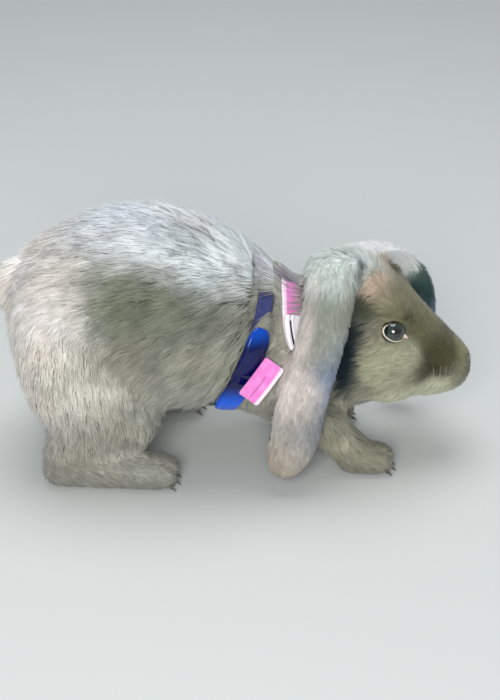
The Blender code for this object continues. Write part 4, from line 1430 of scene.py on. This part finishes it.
def twirled(ways, normals, places):
    """Directions turned about the surface normal round a swirl of hair."""
    for centre, radius, turn in SWIRLS:
        angle = (turn * smoothstep(radius, 0.0, distance_to(places, centre)))[:, None]
        ways = ways * np.cos(angle) + np.cross(normals, ways) * np.sin(angle)
    return ways


def parted(eye, way, outline, normals, kinds):
    """The hair's way, bent so that it parts round an eye and leads away from it."""
    near = smoothstep(3.0, 1.3, opening_reach(eye, outline, kinds))[:, None]
    away = laid(outline - eye["centre"], normals)
    facing = np.clip(-dots(way, away), 0.0, 1.0)
    above = np.sign((outline - eye["centre"]) @ eye["up"])[:, None]
    past = laid(eye["up"] * above, normals)
    return laid(way + (away * facing + past * facing * 0.8 + away * 0.25) * near, normals)


def hair_field(outline, normals, kinds, edges, skin_points):
    """For each skin point, the way and the length of a hair that grows there."""
    at_root = (kinds == "ear") * smoothstep(0.100, 0.135, outline[:, 2])
    length = by_kind(outline, kinds, LENGTHS, FACE_LENGTHS) + EAR_ROOT_LONGER * at_root
    for eye in EYES:
        length = length * (0.22 + 0.78 * smoothstep(1.10, 2.8, opening_reach(eye, outline, kinds)))
    length = blended(length, edges, LENGTH_PASSES)
    length = length * (0.35 + 0.65 * smoothstep(SLIT_BARE, SLIT_SHORT, to_slits(skin_points)))
    way = laid(lie_of(outline, kinds), normals)
    uphill = (smoothstep(-0.15, 0.15, way[:, 2]) * (kinds == "ear"))[:, None]
    way = laid(way * (1.0 - uphill) + np.array(BACK_DOWN) * uphill, normals)
    way = laid(blended(way, edges, WAY_PASSES), normals)
    for eye in EYES:
        way = parted(eye, way, outline, normals, kinds)
    way = laid(blended(way, edges, 4), normals)
    return twirled(way, normals, outline), length


def settled(tree, points):
    """Points moved onto the outline, and the directions out of it there."""
    found = [tree.find_nearest(Vector(point))[:2] for point in points]
    return [np.array([pair[k] for pair in found]).reshape(-1, 3) for k in range(2)]


def over_girth(places):
    """Share of the hairs left lying over the girth strap: none where it shows bare."""
    lower, upper = BARE_GIRTH
    bare = smoothstep(*lower, places[:, 2]) * smoothstep(*upper, places[:, 2]) * (places[:, 1] < 0.0)
    return 0.90 * (1.0 - bare)


def over_neck(places):
    """Share of the hairs left lying over the neck strap: most at the nape, and all of them at the throat."""
    throat = smoothstep(0.052, 0.058, places[:, 0]) * smoothstep(0.085, 0.070, places[:, 2])
    right = places[:, 1] < 0.0
    nape = smoothstep(np.where(right, 0.142, 0.128), np.where(right, 0.147, 0.132), places[:, 2])
    return 0.04 + 0.96 * throat + 0.88 * nape


def on_strap(strap, station, roots, ahead, out):
    """Places beside a strap's stations, level with the roots along it."""
    place, outs, aheads = (strap[key][station] for key in ("places", "outs", "aheads"))
    run = np.cross(aheads, outs)
    return place + run * dots(roots - place, run) + aheads * ahead + outs * out


def tucked(random, strap, cover, roots, middles, tips, ways):
    """Hairs that meet a strap: stopped in front of it, led over it, or led out under its rear edge."""
    edge = strap["half"] + STRAP_CLEAR
    root_ahead, station = ahead_of(strap, roots)
    tip_ahead, _ = ahead_of(strap, tips)
    share = cover(strap["places"][station])
    shallow = share <= 0.95
    covering = random.random(len(roots)) < share
    meets = (root_ahead > edge) & (root_ahead < 1.0) & (tip_ahead < edge) & shallow
    under = (np.abs(root_ahead) <= edge) & shallow
    over = (meets & covering & (root_ahead > edge + OVER_START)) | (under & covering)
    moved = over & under
    roots[moved] = on_strap(strap, station[moved], roots[moved], edge + OVER_START, -UNDER_STRAP)
    middles[over] = on_strap(strap, station[over], roots[over], edge * 0.6, OVER_STRAP)
    led_on = random.uniform(*LYING_OVER, over.sum())[:, None]
    tips[over], _ = settled(outline_tree, middles[over] + ways[over] * led_on)
    cut = meets & ~over
    part = ((root_ahead - edge) / np.maximum(root_ahead - tip_ahead, 1e-9))[cut]
    for ends in (tips, middles):
        ends[cut] = toward(roots[cut], ends[cut], part)
    out = under & ~over
    middles[out] = on_strap(strap, station[out], roots[out], -edge, -UNDER_STRAP)
    led_out = random.uniform(*EMERGING, out.sum())[:, None]
    tips[out], _ = settled(outline_tree, middles[out] + ways[out] * led_out)
    return under


# ---------------------------------------------------------------- tufts
COATS = (
    # name, kinds, tufts for each square millimetre, width, bend, tufts in a lock, pull
    ("coat_trunk", ("trunk",), 1.15, 0.00088, True, 20, 0.54),
    ("coat_neck", ("neck",), 1.30, 0.00085, True, 16, 0.45),
    ("coat_tail", ("tail",), 1.80, 0.00080, True, 12, 0.50),
    ("coat_legs", ("hind_leg", "foreleg"), 0.78, 0.00078, True, 14, 0.42),
    ("coat_feet", ("hind_foot", "forepaw"), 1.50, 0.00075, False, 7, 0.35),
    ("coat_head", ("head",), 3.00, 0.00055, False, 12, 0.45),
    ("coat_ears", ("ear",), 2.30, 0.00055, False, 10, 0.40),
)
STRAPLESS = ("coat_ears", "coat_feet")   # coats that no strap meets
LONG_COATED = ("coat_trunk", "coat_neck", "coat_tail")
LOCK_TINT = 0.15         # how much locks differ in brightness
SHORT_TINT = 0.6         # the same on short coats, as a share of that
HAIR_TINT = 0.07         # how much single tufts differ
LOCK_LIFT = 0.040        # how far locks rise or sink, as a share of their length
LOCK_SWING = 0.11        # how far locks turn aside
HAIR_SWING = 0.09        # how far single tufts turn aside in their lock
STRETCHED = 1.6          # tufts drawn out longer than this share of their length are left out
STRAY_SHARE = 0.05       # share of tufts that stand out of the coat
STRAY_LIFT = 0.10        # how far they stand out, as a share of their length
FOLDED = 0.3             # the skin has turned over where it agrees less than this with the outline
PIECE_TRIANGLES = 195000  # most triangles in one coat piece
ROOT_DEPTH = 0.0004      # how far a tuft's root lies in the skin
PATCH = 0.003            # width of a tuft's patch on the unwrap
RING = np.array([(-0.5, -0.22), (0.5, -0.22), (0.0, 0.44)])   # a tuft's section: across, up
BENT_FACES = [(0, 1, 4), (0, 4, 3), (1, 2, 5), (1, 5, 4), (2, 0, 3), (2, 3, 5),
              (3, 4, 6), (4, 5, 6), (5, 3, 6), (0, 2, 1)]
STRAIGHT_FACES = [(0, 1, 3), (1, 2, 3), (2, 0, 3), (0, 2, 1)]
# A tuft's rings and tip: width, share of the way and brightness of each; the root is darker, from darker
# underfur and painted shade deep in the coat
ROOT_END, BEND, TIP_END = (1.0, 0.0, 0.74), (0.72, 0.6, 0.96), (0.0, 1.0, 1.10)


def scatter(random, density):
    """Random places on the skin: the triangle and the shares of its corners, by a density at each point."""
    a, b, c = (skin_points[triangles[:, k]] for k in range(3))
    area = np.linalg.norm(np.cross(b - a, c - a), axis=1) / 2.0
    wanted = area * density[triangles].mean(axis=1)
    total = int(round(wanted.sum()))
    chosen = random.choice(len(triangles), total, p=wanted / wanted.sum())
    first = np.sqrt(random.random(total))
    second = random.random(total)
    return chosen, np.stack([1.0 - first, first * (1.0 - second), first * second], axis=1)


def locks(random, roots, in_lock):
    """The number of the lock that each root belongs to: that of the nearest of some roots drawn at random."""
    count = max(1, int(len(roots) / in_lock))
    tree = KDTree(count)
    for number, centre in enumerate(random.choice(len(roots), count, replace=False)):
        tree.insert(roots[centre], number)
    tree.balance()
    return np.array([tree.find(root)[1] for root in roots])


def clumped(tips, lock, pull):
    """Tips drawn towards the middle of their lock's tips."""
    count = np.bincount(lock)[:, None]
    middle = gather(len(count), lock, tips) / np.maximum(count, 1)
    return toward(tips, middle[lock], pull)


def make_tufts(name, tufts, bend):
    """Closed tapering tufts in one mesh, with their colours and their patches on the unwrap."""
    roots, normals, tips, widths = (tufts[key] for key in ("roots", "normals", "tips", "widths"))
    run = unit(tips - roots)
    across = unit(np.cross(normals, run))
    up = np.cross(run, across)
    rings = [(roots - normals * ROOT_DEPTH, *ROOT_END)] + ([(tufts["middles"], *BEND)] if bend else [])
    columns = [centre + across * (widths * a * size)[:, None] + up * (widths * b * size)[:, None]
               for centre, size, _, _ in rings for a, b in RING]
    points = np.stack(columns + [tips], axis=1)
    points[:, :, 2] = np.maximum(points[:, :, 2], FLOOR_CLEAR)
    faces = np.array(BENT_FACES if bend else STRAIGHT_FACES)
    starts = np.arange(len(roots)) * points.shape[1]
    triangles = (starts[:, None, None] + faces[None]).reshape(-1, 3)
    mesh = make_mesh(name, points.reshape(-1, 3), triangles)
    patch = np.array([(a, share) for _, _, share, _ in rings for a in (0, 1, 0.5)] + [(0.5, TIP_END[1])])
    unwrap = np.clip(tufts["places"][:, None, :] + (patch[None] - 0.5) * PATCH, 0.0, 1.0).reshape(-1, 2)
    fill(mesh.uv_layers.new(name="OFBake").data, "uv", unwrap[triangles.ravel()])
    shade = np.array([bright for _, _, _, bright in rings for _ in RING] + [TIP_END[2]])
    hold_colours(mesh, np.clip(tufts["tint"][:, None, :] * shade[None, :, None], 0.0, 1.0).reshape(-1, 3))
    tip_lean = tufts["tip_normals"]
    leans = [normals] * 3 + ([unit(normals + tip_lean)] * 3 if bend else []) + [tip_lean]
    mesh.shade_smooth()
    mesh.normals_split_custom_set_from_vertices(np.stack(leans, axis=1).reshape(-1, 3))
    return link(name, mesh)


def grow(name, wanted_kinds, per_mm, width, bend, in_lock, pull):
    """One part's coat: tufts rooted at random, drawn together in locks and led past the straps."""
    random = np.random.default_rng(SEED + len(name) * 7)
    density = np.isin(kinds, wanted_kinds).astype(float) * per_mm * 1e6
    for eye in EYES:
        density = density * (opening_reach(eye, skin_points, kinds) > LID_BARE)
    density = density * (to_slits(skin_points) > SLIT_BARE) * ~folded
    chosen, shares = scatter(random, density)

    def at_places(field):
        return np.einsum("nk,nkd->nd", shares, field[chosen])

    roots, surface, tip_surface, tip_way, middle_way, ways, colours = (
        at_places(field[triangles])
        for field in (skin_points, skin_normals, tip_normals, to_tip, to_middle, way, colour))
    surface, tip_surface, ways = unit(surface), unit(tip_surface), unit(ways)
    count = len(roots)
    reach = np.linalg.norm(tip_way, axis=1)[:, None]
    lock = locks(random, roots, in_lock)
    lock_count = lock.max() + 1
    swing = random.normal(0.0, LOCK_SWING, lock_count)[lock] + random.normal(0.0, HAIR_SWING, count)
    stray = (random.random(count) < STRAY_SHARE) * STRAY_LIFT
    lift = random.normal(0.0, LOCK_LIFT, lock_count)[lock] + stray
    stretch = random.normal(1.0, 0.10, count).clip(0.7, 1.25)[:, None]
    aside = np.cross(surface, tip_way) * swing[:, None]
    tips = roots + tip_way * stretch + aside + surface * reach * lift[:, None]
    tips = clumped(tips, lock, pull * random.random(count) ** 0.5)
    middles = roots + middle_way * stretch + aside * 0.35
    kept = np.linalg.norm(tips - roots, axis=1) < STRETCHED * reach[:, 0]
    for strap, cover in () if name in STRAPLESS else (("neck", over_neck), ("girth", over_girth)):
        under = tucked(random, STRAPS[strap], cover, roots, middles, tips, ways)
        kept &= ~under | bend
    lock_tint = random.normal(1.0, LOCK_TINT * (1.0 if name in LONG_COATED else SHORT_TINT), lock_count)[lock]
    tint = colours * (lock_tint * random.normal(1.0, HAIR_TINT, count))[:, None]
    tufts = {"roots": roots, "normals": surface, "middles": middles, "tips": tips, "tip_normals": tip_surface,
             "widths": width * random.uniform(0.8, 1.2, count), "places": at_places(unwrap), "tint": tint}
    order = np.argsort(roots[:, 0], kind="stable")
    order = order[kept[order]]
    parts = math.ceil(len(order) * len(BENT_FACES if bend else STRAIGHT_FACES) / PIECE_TRIANGLES)
    for number, part in enumerate(np.array_split(order, parts)):
        piece = make_tufts(f"{name}_{number + 1}", {key: rows[part] for key, rows in tufts.items()}, bend)
        finished(piece, coat_material)


# ---------------------------------------------------------------- main
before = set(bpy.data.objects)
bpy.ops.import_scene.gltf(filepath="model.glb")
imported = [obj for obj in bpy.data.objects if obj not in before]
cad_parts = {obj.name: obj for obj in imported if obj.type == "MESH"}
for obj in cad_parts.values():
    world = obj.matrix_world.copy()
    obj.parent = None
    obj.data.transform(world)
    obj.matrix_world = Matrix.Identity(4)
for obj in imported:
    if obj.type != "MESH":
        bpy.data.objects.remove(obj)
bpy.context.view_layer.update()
HARNESS = ("neck_strap", "strap_slider", "strap_tab", "girth_strap", "girth_buckle")
FLESH = [name for name in sorted(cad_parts) if name not in HARNESS and not name.startswith("eye")]
EYES = [eye_frame("eye_right", -1.0), eye_frame("eye_left", 1.0)]
NOSE_TIP = np.array([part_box("head")[1].x - 0.004, 0.0, 0.074])
STRAPS = {"neck": strap_line("neck_strap", NECK_WIDTH), "girth": strap_line("girth_strap", GIRTH_WIDTH)}
make_camera()
make_stage()

# the outline, and the skin inside it, whose points match the outline's one for one
outline, triangles, edges, owners = make_outline()
kinds = np.array([kind_of(name) for name in owners])
depth = coat_depth(outline, kinds, edges)
skin_points = face_details(sunk(outline, triangles, edges, depth), triangles, kinds)
skin, unwrap = make_skin(skin_points, triangles)

# the hair that would grow at each of the skin's points
outline_tree = tree_of(outline, triangles)
normals = blended(normals_of(outline, triangles), edges, 3)
skin_normals = unit(blended(normals_of(skin_points, triangles), edges, 3))
folded = dots(normals, skin_normals)[:, 0] < FOLDED
skin_normals[folded] = normals[folded]
way, length = hair_field(outline, normals, kinds, edges, skin_points)
tips, tip_normals = settled(outline_tree, skin_points + way * length[:, None] + skin_normals * depth[:, None])
tip_normals = unit(blended(tip_normals, edges, 2) + TIP_LEAN * skin_normals)
half_way = (skin_points + tips) / 2.0
nearest, nearest_out = settled(outline_tree, half_way)
to_tip = tips - skin_points
to_tip[dots(half_way - nearest, nearest_out)[:, 0] > BRIDGE] *= BRIDGE_CUT
to_middle = to_tip * MIDDLE_SHARE + skin_normals * (depth * MIDDLE_RISE)[:, None]
colour = markings_and_painted_light(outline + way * (length * SHOWN)[:, None], kinds)

# skin and coat
coat_material = coat_finish()
hold_colours(skin.data, colour * SKIN_SHADE)
finished(skin, coat_material)
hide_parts(*FLESH)
for coat in COATS:
    grow(*coat)

# harness, eyes, claws and whiskers
make_strap("neck_strap", STRAPS["neck"], webbing_finish("pink_webbing", PINK, PINK_LIGHT, PINK_EDGE),
           thread_finish("pink_thread", PINK_THREAD))
make_strap("girth_strap", STRAPS["girth"], webbing_finish("navy_webbing", NAVY, NAVY_LIGHT, NAVY),
           thread_finish("navy_thread", NAVY_THREAD))
make_slider()
make_tab()
make_buckle()
for eye in EYES:
    make_eye(eye)
    make_rim(eye)
    make_corner(eye)
make_claws()
make_whiskers()
